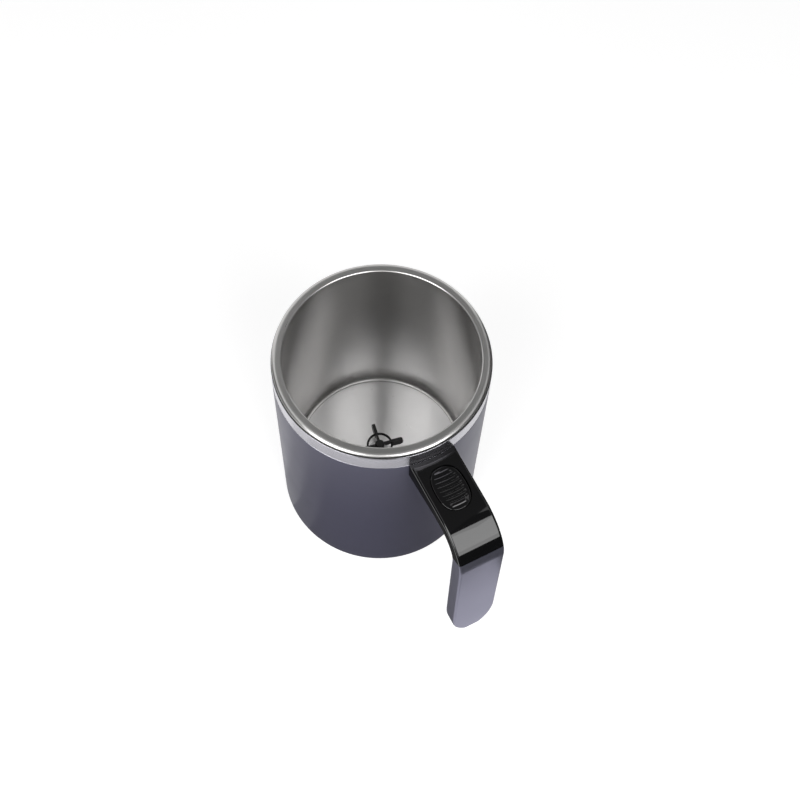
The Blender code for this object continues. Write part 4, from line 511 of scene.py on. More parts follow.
def make_inner_cup(materials):
    """The drawn steel cup with its floor and rolled rim, closed round the shaft bush."""
    top = BODY_HEIGHT
    hole = BUSH_RADIUS + SEAT_GAP
    centre = (FLOOR_RADIUS, FLOOR_HEIGHT + FLOOR_FILLET_HEIGHT)
    lip = (OPENING_RADIUS + RIM_INNER_ROUND, top - RIM_INNER_ROUND)
    edge = (RIM_RADIUS - RIM_SLOPE, top - RIM_OUTER_ROUND)
    profile = [(hole, FLOOR_HEIGHT)]
    profile += arc(
        centre, (FLOOR_FILLET_WIDTH, FLOOR_FILLET_HEIGHT), -math.pi / 2, 0, ARC_STEPS)
    profile += [
        (OPENING_RADIUS, level) for level in span(centre[1], lip[1], ARC_STEPS)[1:-1]]
    profile += rounding(lip, RIM_INNER_ROUND, math.pi, math.pi / 2)
    profile += [(lip[0] + RIM_FLAT_MARGIN, top), (edge[0] - RIM_FLAT_MARGIN, top)]
    profile += arc(edge, (RIM_SLOPE, RIM_OUTER_ROUND), math.pi / 2, 0, 2 * CORNER_STEPS)
    profile += [
        (RIM_RADIUS, top - RIM_SKIRT),
        (RIM_RADIUS - RIM_HOOK, top - RIM_SKIRT),
        (RIM_RADIUS - RIM_HOOK, top - CUP_WALL),
        (lip[0], top - CUP_WALL),
        (OPENING_RADIUS + CUP_WALL, top - CUP_WALL - RIM_INNER_ROUND),
    ]
    profile += arc(
        centre, (FLOOR_FILLET_WIDTH + CUP_WALL, FLOOR_FILLET_HEIGHT + CUP_WALL),
        0, -math.pi / 2, CORNER_STEPS)
    profile.append((hole, FLOOR_HEIGHT - CUP_WALL))
    cup = finish_mesh("cup", turned(profile, SEGMENTS_BODY))
    settle(cup, materials, "brushed_steel", "inner_cup")
    # The floor takes a lighter copy of the steel, a painted highlight, and the wall a darker copy,
    # painted shade.
    floor_highlight_finish = add_finish(cup, materials["floor_steel"])
    wall_shade_finish = add_finish(cup, materials["wall_steel"])
    for polygon in cup.data.polygons:
        if polygon.center.z < FLOOR_HEIGHT + MERGE_DISTANCE:
            polygon.material_index = floor_highlight_finish
        elif polygon.center.z < lip[1] - MERGE_DISTANCE:
            polygon.material_index = wall_shade_finish


def make_outer_shell(materials):
    """The outer tube: a neck tucked under the rim, a bare band, the painted wall, a turned foot."""
    top = BODY_HEIGHT
    steel = BODY_RADIUS - PAINT_DEPTH
    neck_outer = RIM_RADIUS - RIM_HOOK - SEAT_GAP
    neck_top = top - CUP_WALL - SEAT_GAP
    shoulder = top - RIM_SKIRT - RIM_GROOVE
    paint_top = top - BAND_HEIGHT
    foot = (BODY_RADIUS - SHELL_FOOT_ROUND, SHELL_LOW.z + SHELL_FOOT_ROUND)
    lip = BODY_RADIUS - SHELL_FOOT_LIP
    profile = [(neck_outer, neck_top), (neck_outer, shoulder)]
    profile += rounding((steel - BAND_EDGE, shoulder - BAND_EDGE), BAND_EDGE, math.pi / 2, 0)
    profile += [
        (steel, shoulder - BAND_EDGE - RIM_FLAT_MARGIN),
        (steel, paint_top + PAINT_EDGE / 2),
    ]
    profile += arc(
        (steel, paint_top - PAINT_EDGE / 2), (PAINT_DEPTH, PAINT_EDGE), math.pi / 2, 0, CORNER_STEPS)
    profile += [
        (BODY_RADIUS, level) for level in span(paint_top - PAINT_EDGE, foot[1], ARC_STEPS)[1:-1]]
    profile += rounding(foot, SHELL_FOOT_ROUND, 0, -math.pi / 2)
    profile += [
        (lip, SHELL_LOW.z),
        (lip, SHELL_LOW.z + SHELL_WALL),
        (foot[0], SHELL_LOW.z + SHELL_WALL),
        (SHELL_INNER, foot[1]),
        (SHELL_INNER, shoulder - SHELL_WALL),
        (neck_outer - SHELL_WALL, shoulder - SHELL_WALL),
        (neck_outer - SHELL_WALL, neck_top),
    ]
    shell = finish_mesh("shell", turned(profile, SEGMENTS_BODY))
    settle(shell, materials, "painted_steel", "outer_shell")
    band_finish = add_finish(shell, materials["steel_band"])
    # The steel neck in the groove under the rim takes a near-black finish: painted shade of the groove.
    groove_shade_finish = add_finish(shell, materials["groove_shade"])
    for polygon in shell.data.polygons:
        if polygon.center.z > shoulder - BAND_EDGE / 4:
            polygon.material_index = groove_shade_finish
        elif polygon.center.z > paint_top:
            polygon.material_index = band_finish


# Shaft passage and stirrer

def make_shaft_passage(materials):
    """The flanged bush in the mug's floor, with the seat of its lip seal."""
    seat = SHAFT_BORE + SEAL_WALL + SEAT_GAP
    flange = BUSH_HIGH.x
    top = BUSH_HIGH.z
    under = top - BUSH_FLANGE_THICKNESS
    edge = (flange - BUSH_EDGE_ROUND, top - BUSH_EDGE_ROUND)
    profile = [
        (SHAFT_BORE, BUSH_LOW.z),
        (BUSH_RADIUS, BUSH_LOW.z),
        (BUSH_RADIUS, under),
        (flange, under),
    ]
    profile += rounding(edge, BUSH_EDGE_ROUND, 0, math.pi / 2)
    profile += [
        (seat, top),
        (seat, top - SEAL_DEPTH),
        (SHAFT_BORE, top - SEAL_DEPTH),
    ]
    bush = finish_mesh("bush", turned(profile, SEGMENTS_SMALL))
    settle(bush, materials, "plain_steel", "floor_bush")


def make_stirrer(materials):
    """The stirrer wheel: a hub, a ring and four arms that end in upright paddles."""
    top = STIRRER_TOP
    hub = PRESSED_BORE + STIRRER_HUB_WALL
    hub_top = WHEEL_HIGH.z
    bore_top = hub_top - STIRRER_BORE_WALL
    dome = (hub - STIRRER_HUB_DOME, hub_top - STIRRER_HUB_DOME)
    profile = [
        (0, bore_top), (PRESSED_BORE, bore_top), (PRESSED_BORE, WHEEL_LOW.z), (hub, WHEEL_LOW.z)]
    profile += rounding(dome, STIRRER_HUB_DOME, 0, math.pi / 2)
    profile.append((0, hub_top))
    wheel = finish_mesh("wheel", turned(profile, SEGMENTS_SMALL, closed=False))
    spoke = STIRRER_SPOKE_WIDTH / 2
    ring_middle = STIRRER_RING_RADIUS - STIRRER_RING_WIDTH / 2
    hub_overlap = PRESSED_BORE + STIRRER_HUB_WALL / 2
    low = top - STIRRER_PADDLE_HEIGHT
    corner = STIRRER_PADDLE_ROUND
    reach = STIRRER_RADIUS - corner
    half = STIRRER_PADDLE_WIDTH / 2
    for arm in range(STIRRER_ARMS):
        turn = Matrix.Rotation(STIRRER_ARM_ANGLE + math.tau * arm / STIRRER_ARMS, 4, "Z")
        bar = softened(cuboid(
            (hub_overlap, -spoke, top - STIRRER_SPOKE_HEIGHT),
            (STIRRER_RING_RADIUS, spoke, top - MERGE_DISTANCE)), STIRRER_EDGE)
        bar.transform(turn)
        join(wheel, bar)
        outline = [(ring_middle, top), (ring_middle, low)]
        outline += rounding((reach, low + corner), corner, -math.pi / 2, 0)
        outline += rounding((reach, top - corner), corner, 0, math.pi / 2)
        blade = softened(
            lofted([[(x, side, z) for x, z in outline] for side in (-half, half)]), STIRRER_EDGE)
        blade.transform(turn)
        join(wheel, blade)
    ring_half = STIRRER_RING_HEIGHT / 2
    ring_section = arc(
        (ring_middle, top - ring_half - STIRRER_EDGE), (STIRRER_RING_WIDTH / 2, ring_half),
        0, math.tau, 2 * CORNER_STEPS)[:-1]
    join(wheel, turned(ring_section, 2 * SEGMENTS_SMALL))
    settle(wheel, materials, "black_plastic", "stirrer_wheel")


# Handle

def handle_path_point(travel):
    """Point and inward direction at a place on the handle's outer line.

    Travel is the length along the line from the shoulder's start, negative on the level arm.
    """
    radius = HANDLE_SHOULDER_RADIUS
    if travel <= 0:
        return Vector((HANDLE_SHOULDER_X + travel, 0, HANDLE_TOP)), Vector((0, 0, -1))
    turned_by = min(travel / radius, SHOULDER_SWEEP)
    angle = math.pi / 2 - turned_by
    outward = Vector((math.cos(angle), 0, math.sin(angle)))
    point = Vector((HANDLE_SHOULDER_X, 0, SHOULDER_CENTRE_Z)) + radius * outward
    if travel > radius * SHOULDER_SWEEP:
        down = Vector((math.sin(HANDLE_LEAN), 0, -math.cos(HANDLE_LEAN)))
        point = point + down * (travel - radius * SHOULDER_SWEEP)
    return point, -outward


def grip_travel(height):
    """Travel at which the handle's outer line reaches a height on the straight grip."""
    start = SHOULDER_CENTRE_Z + HANDLE_SHOULDER_RADIUS * math.sin(HANDLE_LEAN)
    return HANDLE_SHOULDER_RADIUS * SHOULDER_SWEEP + (start - height) / math.cos(HANDLE_LEAN)


def handle_ring(travel, near, far, half_width, rounds):
    """A rounded section of the handle between two depths below its outer line."""
    point, inward = handle_path_point(travel)
    depth = far - near
    largest = min(half_width * ROUND_WIDTH_SHARE, depth * ROUND_DEPTH_SHARE)
    outer_round = min(rounds[0], largest)
    inner_round = min(rounds[1], largest)
    corners = (
        (half_width - outer_round, near + outer_round, outer_round, -math.pi / 2),
        (half_width - inner_round, far - inner_round, inner_round, 0),
        (-half_width + inner_round, far - inner_round, inner_round, math.pi / 2),
        (-half_width + outer_round, near + outer_round, outer_round, math.pi),
    )
    ring = []
    for y, depth_at, radius, start in corners:
        for across, into in rounding((y, depth_at), radius, start, start + math.pi / 2):
            spot = point + inward * into
            ring.append((spot.x, across, spot.z))
    return ring


def arm_depth(travel):
    """Depth of the handle below its outer line: more at the root, even beyond the taper."""
    taper_end = ARM_TAPER_X - HANDLE_SHOULDER_X
    root = ROOT_RADIUS - HANDLE_SHOULDER_X
    share = max(0, (taper_end - travel) / (taper_end - root))
    return HANDLE_DEPTH + (ARM_ROOT_DEPTH - HANDLE_DEPTH) * share


def seam_travel():
    """Travel at the seam between the arm's shoulder and the grip."""
    return (math.pi / 2 - HANDLE_SEAM_ANGLE) * HANDLE_SHOULDER_RADIUS


def spine_section():
    """Depths and half width of the spine that fits inside the grip sleeve."""
    near = SLEEVE_WALL + SEAT_GAP
    far = HANDLE_DEPTH - SLEEVE_INNER_WALL - SEAT_GAP
    return near, far, HANDLE_WIDTH / 2 - SLEEVE_WALL - SEAT_GAP


def make_handle_frame(materials):
    """The glossy black arm and shoulder, hollow under its top, with the spine inside the grip."""
    root = ROOT_RADIUS - HANDLE_SHOULDER_X - CUT_OVERRUN
    rounds = (HANDLE_OUTER_ROUND, HANDLE_INNER_ROUND)
    seam = seam_travel()
    travels = [root, ARM_TAPER_X - HANDLE_SHOULDER_X] + span(0, seam, SWEEP_STEPS)
    rings = [handle_ring(t, 0, arm_depth(t), HANDLE_WIDTH / 2, rounds) for t in travels]
    item = finish_mesh("arm", lofted(rings))
    cut(item, disc(ROOT_RADIUS, 0, BODY_HEIGHT - BAND_HEIGHT, SEGMENTS_BODY))
    cut(item, disc(ROOT_RADIUS - PAINT_DEPTH, 0, BODY_HEIGHT + CUT_OVERRUN, SEGMENTS_BODY))
    step_top = HANDLE_TOP + CUT_OVERRUN
    step_end = ROOT_RADIUS + ROOT_STEP_WIDTH + ROOT_STEP_DEPTH / 2
    step_low = HANDLE_TOP - ROOT_STEP_DEPTH
    step = [(ROOT_RADIUS - CUT_OVERRUN, step_low)]
    step += rounding((step_end, step_low), ROOT_STEP_DEPTH, math.pi, math.pi / 2)
    step += [(step_end, step_top), (ROOT_RADIUS - CUT_OVERRUN, step_top)]
    cut(item, turned(step, SEGMENTS_BODY))
    half = HANDLE_WIDTH / 2 - FRAME_SIDE_WALL
    cut(item, cuboid(
        (FRAME_POCKET_START, -half, HANDLE_TOP - ARM_ROOT_DEPTH - CUT_OVERRUN),
        (FRAME_POCKET_END, half, HANDLE_TOP - FRAME_TOP_WALL)))
    cut(item, prism(
        button_outline(SEAT_GAP), HANDLE_TOP - FRAME_TOP_WALL - CUT_OVERRUN / 2, step_top))
    near, far, half_width = spine_section()
    start = seam - SPINE_ROOT_OVERLAP * HANDLE_SHOULDER_RADIUS
    travels = [start] + span(seam, grip_travel(SHOULDER_CENTRE_Z), ARC_STEPS)
    travels.append(grip_travel(SPINE_END))
    rounds = (SPINE_ROUND, HANDLE_INNER_ROUND - SLEEVE_WALL)
    join(item, lofted([handle_ring(t, near, far, half_width, rounds) for t in travels]))
    settle(item, materials, "black_gloss", "handle_frame")
    # The arm's flat sides take a darker copy of the black gloss that barely reflects: painted shade.
    side_shade_finish = add_finish(item, materials["black_side"])
    for polygon in item.data.polygons:
        if abs(polygon.normal.y) > FLAT_SIDE:
            polygon.material_index = side_shade_finish


def grip_screw_cut(depth, radius, length):
    """A cutter for the grip screw, along the handle's depth, from a depth outwards by a length."""
    point, inward = handle_path_point(grip_travel(GRIP_SCREW_LEVEL))
    rod = disc(radius, -length, CUT_OVERRUN / 4, SEGMENTS_TINY)
    turn = inward.to_track_quat("Z", "Y").to_matrix().to_4x4()
    rod.transform(Matrix.Translation(point + inward * depth) @ turn)
    return rod


def make_grip_sleeve(materials):
    """The painted grip: a sleeve over the spine, round at its free lower end."""
    seam = seam_travel() + SEAT_GAP
    bend_end = grip_travel(SHOULDER_CENTRE_Z)
    tip = grip_travel(HANDLE_BOTTOM)
    rounds = (HANDLE_OUTER_ROUND, HANDLE_INNER_ROUND)
    rings = []
    for travel in span(seam, bend_end, ARC_STEPS):
        rings.append(handle_ring(travel, 0, HANDLE_DEPTH, HANDLE_WIDTH / 2, rounds))
    for step in range(SWEEP_STEPS + 1):
        angle = math.pi / 2 * step / SWEEP_STEPS
        travel = tip - TONGUE_LENGTH * (1 - math.sin(angle))
        half_width = max(HANDLE_WIDTH / 2 * math.cos(angle), TONGUE_EDGE_ROUND / 2)
        left = max(0, TONGUE_EDGE_ROUND - (tip - travel))
        inset = TONGUE_EDGE_ROUND - math.sqrt(TONGUE_EDGE_ROUND ** 2 - left ** 2)
        inset = min(inset, HANDLE_DEPTH / 2 - SLEEVE_WALL / 2)
        rings.append(handle_ring(travel, inset, HANDLE_DEPTH - inset, half_width, rounds))
    sleeve = finish_mesh("sleeve", lofted(rings))
    near, far, half_width = spine_section()
    near -= SEAT_GAP
    far += SEAT_GAP
    half_width += SEAT_GAP
    hollow_rounds = (SPINE_ROUND, HANDLE_INNER_ROUND - SLEEVE_WALL)
    travels = [seam - SPINE_ROOT_OVERLAP * HANDLE_SHOULDER_RADIUS]
    travels += span(seam, bend_end, ARC_STEPS)
    travels.append(grip_travel(SPINE_END - SEAT_GAP))
    cut(sleeve, lofted([handle_ring(t, near, far, half_width, hollow_rounds) for t in travels]))
    cut(sleeve, grip_screw_cut(
        HANDLE_DEPTH, GRIP_SCREW_RADIUS + SEAT_GAP, SLEEVE_INNER_WALL + SEAT_GAP))
    cut(sleeve, grip_screw_cut(
        HANDLE_DEPTH, GRIP_SCREW_HEAD_RADIUS + SEAT_GAP, GRIP_SCREW_HEAD_HEIGHT + SEAT_GAP))
    settle(sleeve, materials, "painted_plastic", "grip_sleeve")


# Thumb button

def button_outline(grow):
    """Plan of the thumb button, a soft oval, grown all round by a clearance."""
    half_length = BUTTON_LENGTH / 2 + grow
    half_width = BUTTON_WIDTH / 2 + grow
    power = 2 / BUTTON_CURVE_SHARE
    outline = []
    for step in range(SEGMENTS_BUTTON):
        angle = math.tau * step / SEGMENTS_BUTTON
        x = math.copysign(abs(math.cos(angle)) ** power, math.cos(angle))
        y = math.copysign(abs(math.sin(angle)) ** power, math.sin(angle))
        outline.append((BUTTON_X + half_length * x, half_width * y))
    return outline


def button_half_width(x):
    """Half width of the button's plan at an offset from its middle."""
    share = min(1, abs(x) / (BUTTON_LENGTH / 2))
    return BUTTON_WIDTH / 2 * (1 - share ** BUTTON_CURVE_SHARE) ** (1 / BUTTON_CURVE_SHARE)


def make_thumb_button(materials):
    """The thumb button: an oval cap with bowed ribs, a flange that keeps it in, and a stem."""
    top = BUTTON_TOP
    flange_top = HANDLE_TOP - FRAME_TOP_WALL - SEAT_GAP
    skirt_low = flange_top - BUTTON_FLANGE_HEIGHT
    levels = [
        (BUTTON_FLANGE_REACH, skirt_low),
        (BUTTON_FLANGE_REACH, flange_top),
        (0, flange_top),
    ]
    levels += rounding(
        (-BUTTON_EDGE_ROUND, top - BUTTON_EDGE_ROUND), BUTTON_EDGE_ROUND, 0, math.pi / 2)
    rings = [[(x, y, z) for x, y in button_outline(grow)] for grow, z in levels]
    button = finish_mesh("button", lofted(rings))
    cap_under = top - BUTTON_CAP
    cut(button, prism(
        button_outline(-BUTTON_SKIRT_WALL), skirt_low - CUT_OVERRUN, cap_under))
    join(button, disc(
        STEM_RADIUS, cap_under - STEM_LENGTH, cap_under + BUTTON_CAP / 2, SEGMENTS_SMALL,
        (BUTTON_X - SWITCH_OFFSET, 0)))
    for rib in range(BUTTON_RIBS):
        offset = (rib - (BUTTON_RIBS - 1) / 2) * BUTTON_RIB_PITCH
        last = rib == BUTTON_RIBS - 1
        width = BUTTON_STOP_HALF_WIDTH if last else BUTTON_RIB_HALF_WIDTH
        height = BUTTON_STOP_HEIGHT if last else BUTTON_RIB_HEIGHT
        reach = button_half_width(abs(offset) + width) - BUTTON_RIB_MARGIN
        points = []
        for share in span(-1, 1, RIB_STEPS):
            bow = BUTTON_RIB_BOW * (share * reach / (BUTTON_WIDTH / 2)) ** 2
            points.append((BUTTON_X + offset - bow, share * reach, top))
        join(button, low_rib(points, width, height))
    settle(button, materials, "black_gloss", "thumb_button")


# Bottom cover and pad

def make_bottom_cover(materials):
    """The cover that turns to unlock, with a skirt, three lugs and two finger recesses."""
    low = COVER_LOW.z
    inner_face = low + COVER_THICKNESS
    pad_seat = PAD_HIGH.z + SEAT_GAP
    pad_edge = PAD_HIGH.y + SEAT_GAP
    edge = (COVER_RADIUS - COVER_EDGE_ROUND, low + COVER_EDGE_ROUND)
    profile = [(0, pad_seat), (pad_edge, pad_seat), (pad_edge, low)]
    profile += rounding(edge, COVER_EDGE_ROUND, -math.pi / 2, 0)
    profile += [
        (COVER_RADIUS, inner_face),
        (COVER_SKIRT_RADIUS, inner_face),
        (COVER_SKIRT_RADIUS, COVER_HIGH.z),
        (COVER_SKIRT_RADIUS - COVER_SKIRT_WALL, COVER_HIGH.z),
        (COVER_SKIRT_RADIUS - COVER_SKIRT_WALL, inner_face),
        (COVER_RIB_RADIUS, inner_face),
        (COVER_RIB_RADIUS, inner_face + COVER_RIB_HEIGHT),
        (COVER_RIB_RADIUS - COVER_RIB_WALL, inner_face + COVER_RIB_HEIGHT),
        (COVER_RIB_RADIUS - COVER_RIB_WALL, inner_face),
        (0, inner_face),
    ]
    cover = finish_mesh("base_cover", turned(profile, SEGMENTS_BODY, closed=False))
    lug_top = COVER_HIGH.z - COVER_LUG_STEP
    for lug in range(COVER_LUGS):
        middle = math.tau * lug / COVER_LUGS
        join(cover, sector(
            COVER_SKIRT_RADIUS - COVER_SKIRT_WALL / 2, COVER_RADIUS,
            middle - COVER_LUG_ANGLE / 2, middle + COVER_LUG_ANGLE / 2,
            lug_top - COVER_LUG_HEIGHT, lug_top))
    outer = COVER_RADIUS - FINGER_RECESS_MARGIN
    for middle in (math.pi / 2, -math.pi / 2):
        cut(cover, sector(
            outer - FINGER_RECESS_WIDTH, outer,
            middle - FINGER_RECESS_ANGLE / 2, middle + FINGER_RECESS_ANGLE / 2,
            low - CUT_OVERRUN, low + FINGER_RECESS_DEPTH))
    settle(cover, materials, "black_plastic", "bottom_cover")


def make_pad(materials):
    """The round rubber pad that the mug stands on."""
    edge = (PAD_HIGH.y - PAD_EDGE_ROUND, PAD_EDGE_ROUND)
    profile = [(0, 0)]
    profile += rounding(edge, PAD_EDGE_ROUND, -math.pi / 2, 0)
    profile += [(PAD_HIGH.y, PAD_HIGH.z), (0, PAD_HIGH.z)]
    pad = finish_mesh("pad", turned(profile, SEGMENTS_BODY, closed=False))
    settle(pad, materials, "rubber", "non_slip_pad")


# Materials

class Graph:
    """The nodes of one material, with short calls for the few kinds that the finishes use."""

    def __init__(self, name, colour, metallic, roughness, **constants):
        self.material = bpy.data.materials.new(name)
        self.material.use_nodes = True
        self.tree = self.material.node_tree
        self.shader = self.tree.nodes["Principled BSDF"]
        self.colour = colour
        self.roughness = roughness
        self.shader.inputs["Metallic"].default_value = metallic
        for socket, value in constants.items():
            self.shader.inputs[socket.replace("_", " ")].default_value = value
        self.place = self.add("ShaderNodeTexCoord").outputs["Object"]

    def add(self, kind, **settings):
        """A new node with its settings."""
        node = self.tree.nodes.new(kind)
        for key, value in settings.items():
            setattr(node, key, value)
        return node

    def link(self, source, target):
        self.tree.links.new(source, target)

    def math(self, operation, first, second):
        """The result of an operation on two numbers or sockets."""
        node = self.add("ShaderNodeMath", operation=operation)
        for socket, value in zip(node.inputs, (first, second)):
            if isinstance(value, (int, float)):
                socket.default_value = value
            else:
                self.link(value, socket)
        return node.outputs[0]

    def stretched(self, scales):
        """Object coordinates with a scale for each axis."""
        node = self.add("ShaderNodeMapping")
        node.inputs["Scale"].default_value = scales
        self.link(self.place, node.inputs["Vector"])
        return node.outputs["Vector"]

    def noise(self, vector, scale, detail=2.0, roughness=0.5):
        """Plain noise over a vector."""
        node = self.add("ShaderNodeTexNoise")
        node.inputs["Scale"].default_value = scale
        node.inputs["Detail"].default_value = detail
        node.inputs["Roughness"].default_value = roughness
        self.link(vector, node.inputs["Vector"])
        return node.outputs["Fac"]

    def turning_marks(self, fine, along):
        """Noise in fine rings about Z, as a lathe or a polishing wheel leaves it."""
        parts = self.add("ShaderNodeSeparateXYZ")
        self.link(self.place, parts.inputs[0])
        flat = self.add("ShaderNodeCombineXYZ")
        self.link(parts.outputs["X"], flat.inputs["X"])
        self.link(parts.outputs["Y"], flat.inputs["Y"])
        length = self.add("ShaderNodeVectorMath", operation="LENGTH")
        self.link(flat.outputs[0], length.inputs[0])
        heading = self.add("ShaderNodeVectorMath", operation="NORMALIZE")
        self.link(flat.outputs[0], heading.inputs[0])
        spread = self.add("ShaderNodeVectorMath", operation="SCALE")
        spread.inputs["Scale"].default_value = along
        self.link(heading.outputs[0], spread.inputs[0])
        turned_parts = self.add("ShaderNodeSeparateXYZ")
        self.link(spread.outputs[0], turned_parts.inputs[0])
        vector = self.add("ShaderNodeCombineXYZ")
        self.link(turned_parts.outputs["X"], vector.inputs["X"])
        self.link(turned_parts.outputs["Y"], vector.inputs["Y"])
        self.link(self.math("MULTIPLY", length.outputs["Value"], fine), vector.inputs["Z"])
        node = self.add("ShaderNodeTexNoise", noise_dimensions="4D")
        node.inputs["Scale"].default_value = 1.0
        node.inputs["Detail"].default_value = 2.0
        self.link(vector.outputs[0], node.inputs["Vector"])
        self.link(self.math("MULTIPLY", parts.outputs["Z"], fine), node.inputs["W"])
        return node.outputs["Fac"]

    def ramp(self, factor, low, high):
        """A factor from 0 to 1 turned into a number between two values."""
        node = self.add("ShaderNodeMapRange")
        node.inputs["To Min"].default_value = low
        node.inputs["To Max"].default_value = high
        self.link(factor, node.inputs["Value"])
        return node.outputs["Result"]

    def tint(self, factor, contrast):
        """The base colour, a little darker and lighter with the factor."""
        node = self.add("ShaderNodeMix", data_type="RGBA")
        shares = {"A": 1 - contrast, "B": 1 + contrast}
        for socket in node.inputs:
            if socket.type == "RGBA":
                shade = [channel * shares[socket.name] for channel in self.colour]
                socket.default_value = (*shade, 1)
        self.link(factor, node.inputs["Factor"])
        output = next(socket for socket in node.outputs if socket.type == "RGBA")
        self.link(output, self.shader.inputs["Base Color"])

    def rough(self, factor, spread):
        """The base roughness, a little lower and higher with the factor."""
        self.link(
            self.ramp(factor, self.roughness - spread, self.roughness + spread),
            self.shader.inputs["Roughness"])

    def bump(self, height, strength, distance):
        """Fine relief of the surface from a height."""
        node = self.add("ShaderNodeBump")
        node.inputs["Strength"].default_value = strength
        node.inputs["Distance"].default_value = distance
        self.link(height, node.inputs["Height"])
        self.link(node.outputs["Normal"], self.shader.inputs["Normal"])


def turned_steel(name, colour, roughness, anisotropy):
    """Steel finished on a wheel: fine rings, a stretched highlight and a faint cloudiness."""
    graph = Graph(
        name, colour, 1.0, roughness, Anisotropic=anisotropy, Anisotropic_Rotation=TANGENT_TURN)
    tangent = graph.add("ShaderNodeTangent", direction_type="RADIAL", axis="Z")
    graph.link(tangent.outputs[0], graph.shader.inputs["Tangent"])
    marks = graph.turning_marks(fine=4200.0, along=6.0)
    clouds = graph.noise(graph.place, scale=55.0, detail=3.0)
    graph.tint(clouds, contrast=0.05)
    graph.rough(marks, spread=0.05)
    graph.bump(marks, strength=0.05, distance=0.00002)
    return graph.material


def metallic_paint(name, colour, metallic, roughness, specular):
    """Satin paint with fine metal flakes under it, and the faintest orange peel."""
    graph = Graph(
        name, colour, metallic, roughness, Specular_IOR_Level=specular, Specular_Tint=PAINT_SHEEN)
    flakes = graph.noise(graph.place, scale=5200.0, detail=1.0)
    clouds = graph.noise(graph.place, scale=45.0)
    peel = graph.noise(graph.place, scale=1400.0)
    graph.tint(flakes, contrast=0.10)
    graph.rough(clouds, spread=0.03)
    graph.bump(peel, strength=0.06, distance=0.00003)
    return graph.material


def moulded_plastic(name, colour, roughness, grain, specular, index):
    """Moulded plastic: a little uneven in gloss, with a grain whose strength is given."""
    graph = Graph(name, colour, 0.0, roughness, Specular_IOR_Level=specular, IOR=index)
    grit = graph.noise(graph.place, scale=2600.0, detail=3.0)
    clouds = graph.noise(graph.place, scale=120.0, detail=3.0)
    wear = graph.noise(graph.place, scale=160.0, detail=4.0)
    graph.tint(clouds, contrast=0.12)
    graph.rough(wear, spread=roughness * GLOSS_SPREAD_SHARE)
    graph.bump(grit, strength=grain, distance=0.00004)
    return graph.material


def bare_metal(name, colour, roughness):
    """Drawn or stamped metal with short scratches and a worn, uneven shine."""
    graph = Graph(name, colour, 1.0, roughness)
    scratches = graph.noise(
        graph.stretched(SCRATCH_SCALES), scale=1.0, detail=4.0, roughness=0.6)
    clouds = graph.noise(graph.place, scale=300.0, detail=3.0)
    graph.tint(clouds, contrast=0.08)
    graph.rough(scratches, spread=0.08)
    graph.bump(scratches, strength=0.08, distance=0.00002)
    return graph.material


def wound_copper(name, colour, roughness):
    """Enamelled windings: close turns of wire seen as fine ridges."""
    graph = Graph(name, colour, 1.0, roughness)
    wave = graph.add("ShaderNodeTexWave", wave_type="BANDS", bands_direction="Z")
    wave.inputs["Scale"].default_value = 900.0
    wave.inputs["Distortion"].default_value = 0.6
    graph.link(graph.place, wave.inputs["Vector"])
    ridges = wave.outputs["Fac"]
    graph.tint(ridges, contrast=0.2)
    graph.rough(ridges, spread=0.08)
    graph.bump(ridges, strength=0.4, distance=0.00008)
    return graph.material


def woven_board(name, colour, roughness):
    """Solder mask over glass weave."""
    graph = Graph(name, colour, 0.0, roughness)
    warp = graph.noise(graph.stretched((WEAVE_FINE, WEAVE_COARSE, WEAVE_COARSE)), scale=1.0)
    weft = graph.noise(graph.stretched((WEAVE_COARSE, WEAVE_FINE, WEAVE_COARSE)), scale=1.0)
    weave = graph.math("MULTIPLY", warp, weft)
    graph.tint(weave, contrast=0.25)
    graph.rough(weave, spread=0.08)
    graph.bump(weave, strength=0.2, distance=0.00003)
    return graph.material


def make_materials():
    """Every finish, by the name of its slot."""
    kinds = (
        (turned_steel, TURNED_STEELS),
        (metallic_paint, METALLIC_PAINTS),
        (moulded_plastic, MOULDED_PIECES),
        (bare_metal, BARE_METALS),
        (wound_copper, WINDINGS),
        (woven_board, BOARDS),
    )
    return {name: make(name, *values) for make, table in kinds for name, values in table.items()}


def finish_hidden_nodes(materials):
    """Every frame node that still shows takes the full finish of its own slot."""
    for item in NODES.values():
        if item.hide_render:
            continue
        for slot in item.material_slots:
            slot.material = materials[slot.material.name.split(".")[0]]


# Stage, camera and lights

def bare_tree(owner):
    """The emptied node tree of a material or world."""
    owner.use_nodes = True
    owner.node_tree.nodes.clear()
    return owner.node_tree


def seen_rays(tree):
    """1 for rays that show the background: from the camera, or by way of metal, gloss or glass."""
    paths = tree.nodes.new("ShaderNodeLightPath")
    both = tree.nodes.new("ShaderNodeMath")
    both.operation = "MAXIMUM"
    tree.links.new(paths.outputs["Is Camera Ray"], both.inputs[0])
    tree.links.new(paths.outputs["Is Glossy Ray"], both.inputs[1])
    every = tree.nodes.new("ShaderNodeMath")
    every.operation = "MAXIMUM"
    tree.links.new(both.outputs[0], every.inputs[0])
    tree.links.new(paths.outputs["Is Transmission Ray"], every.inputs[1])
    return every.outputs[0]


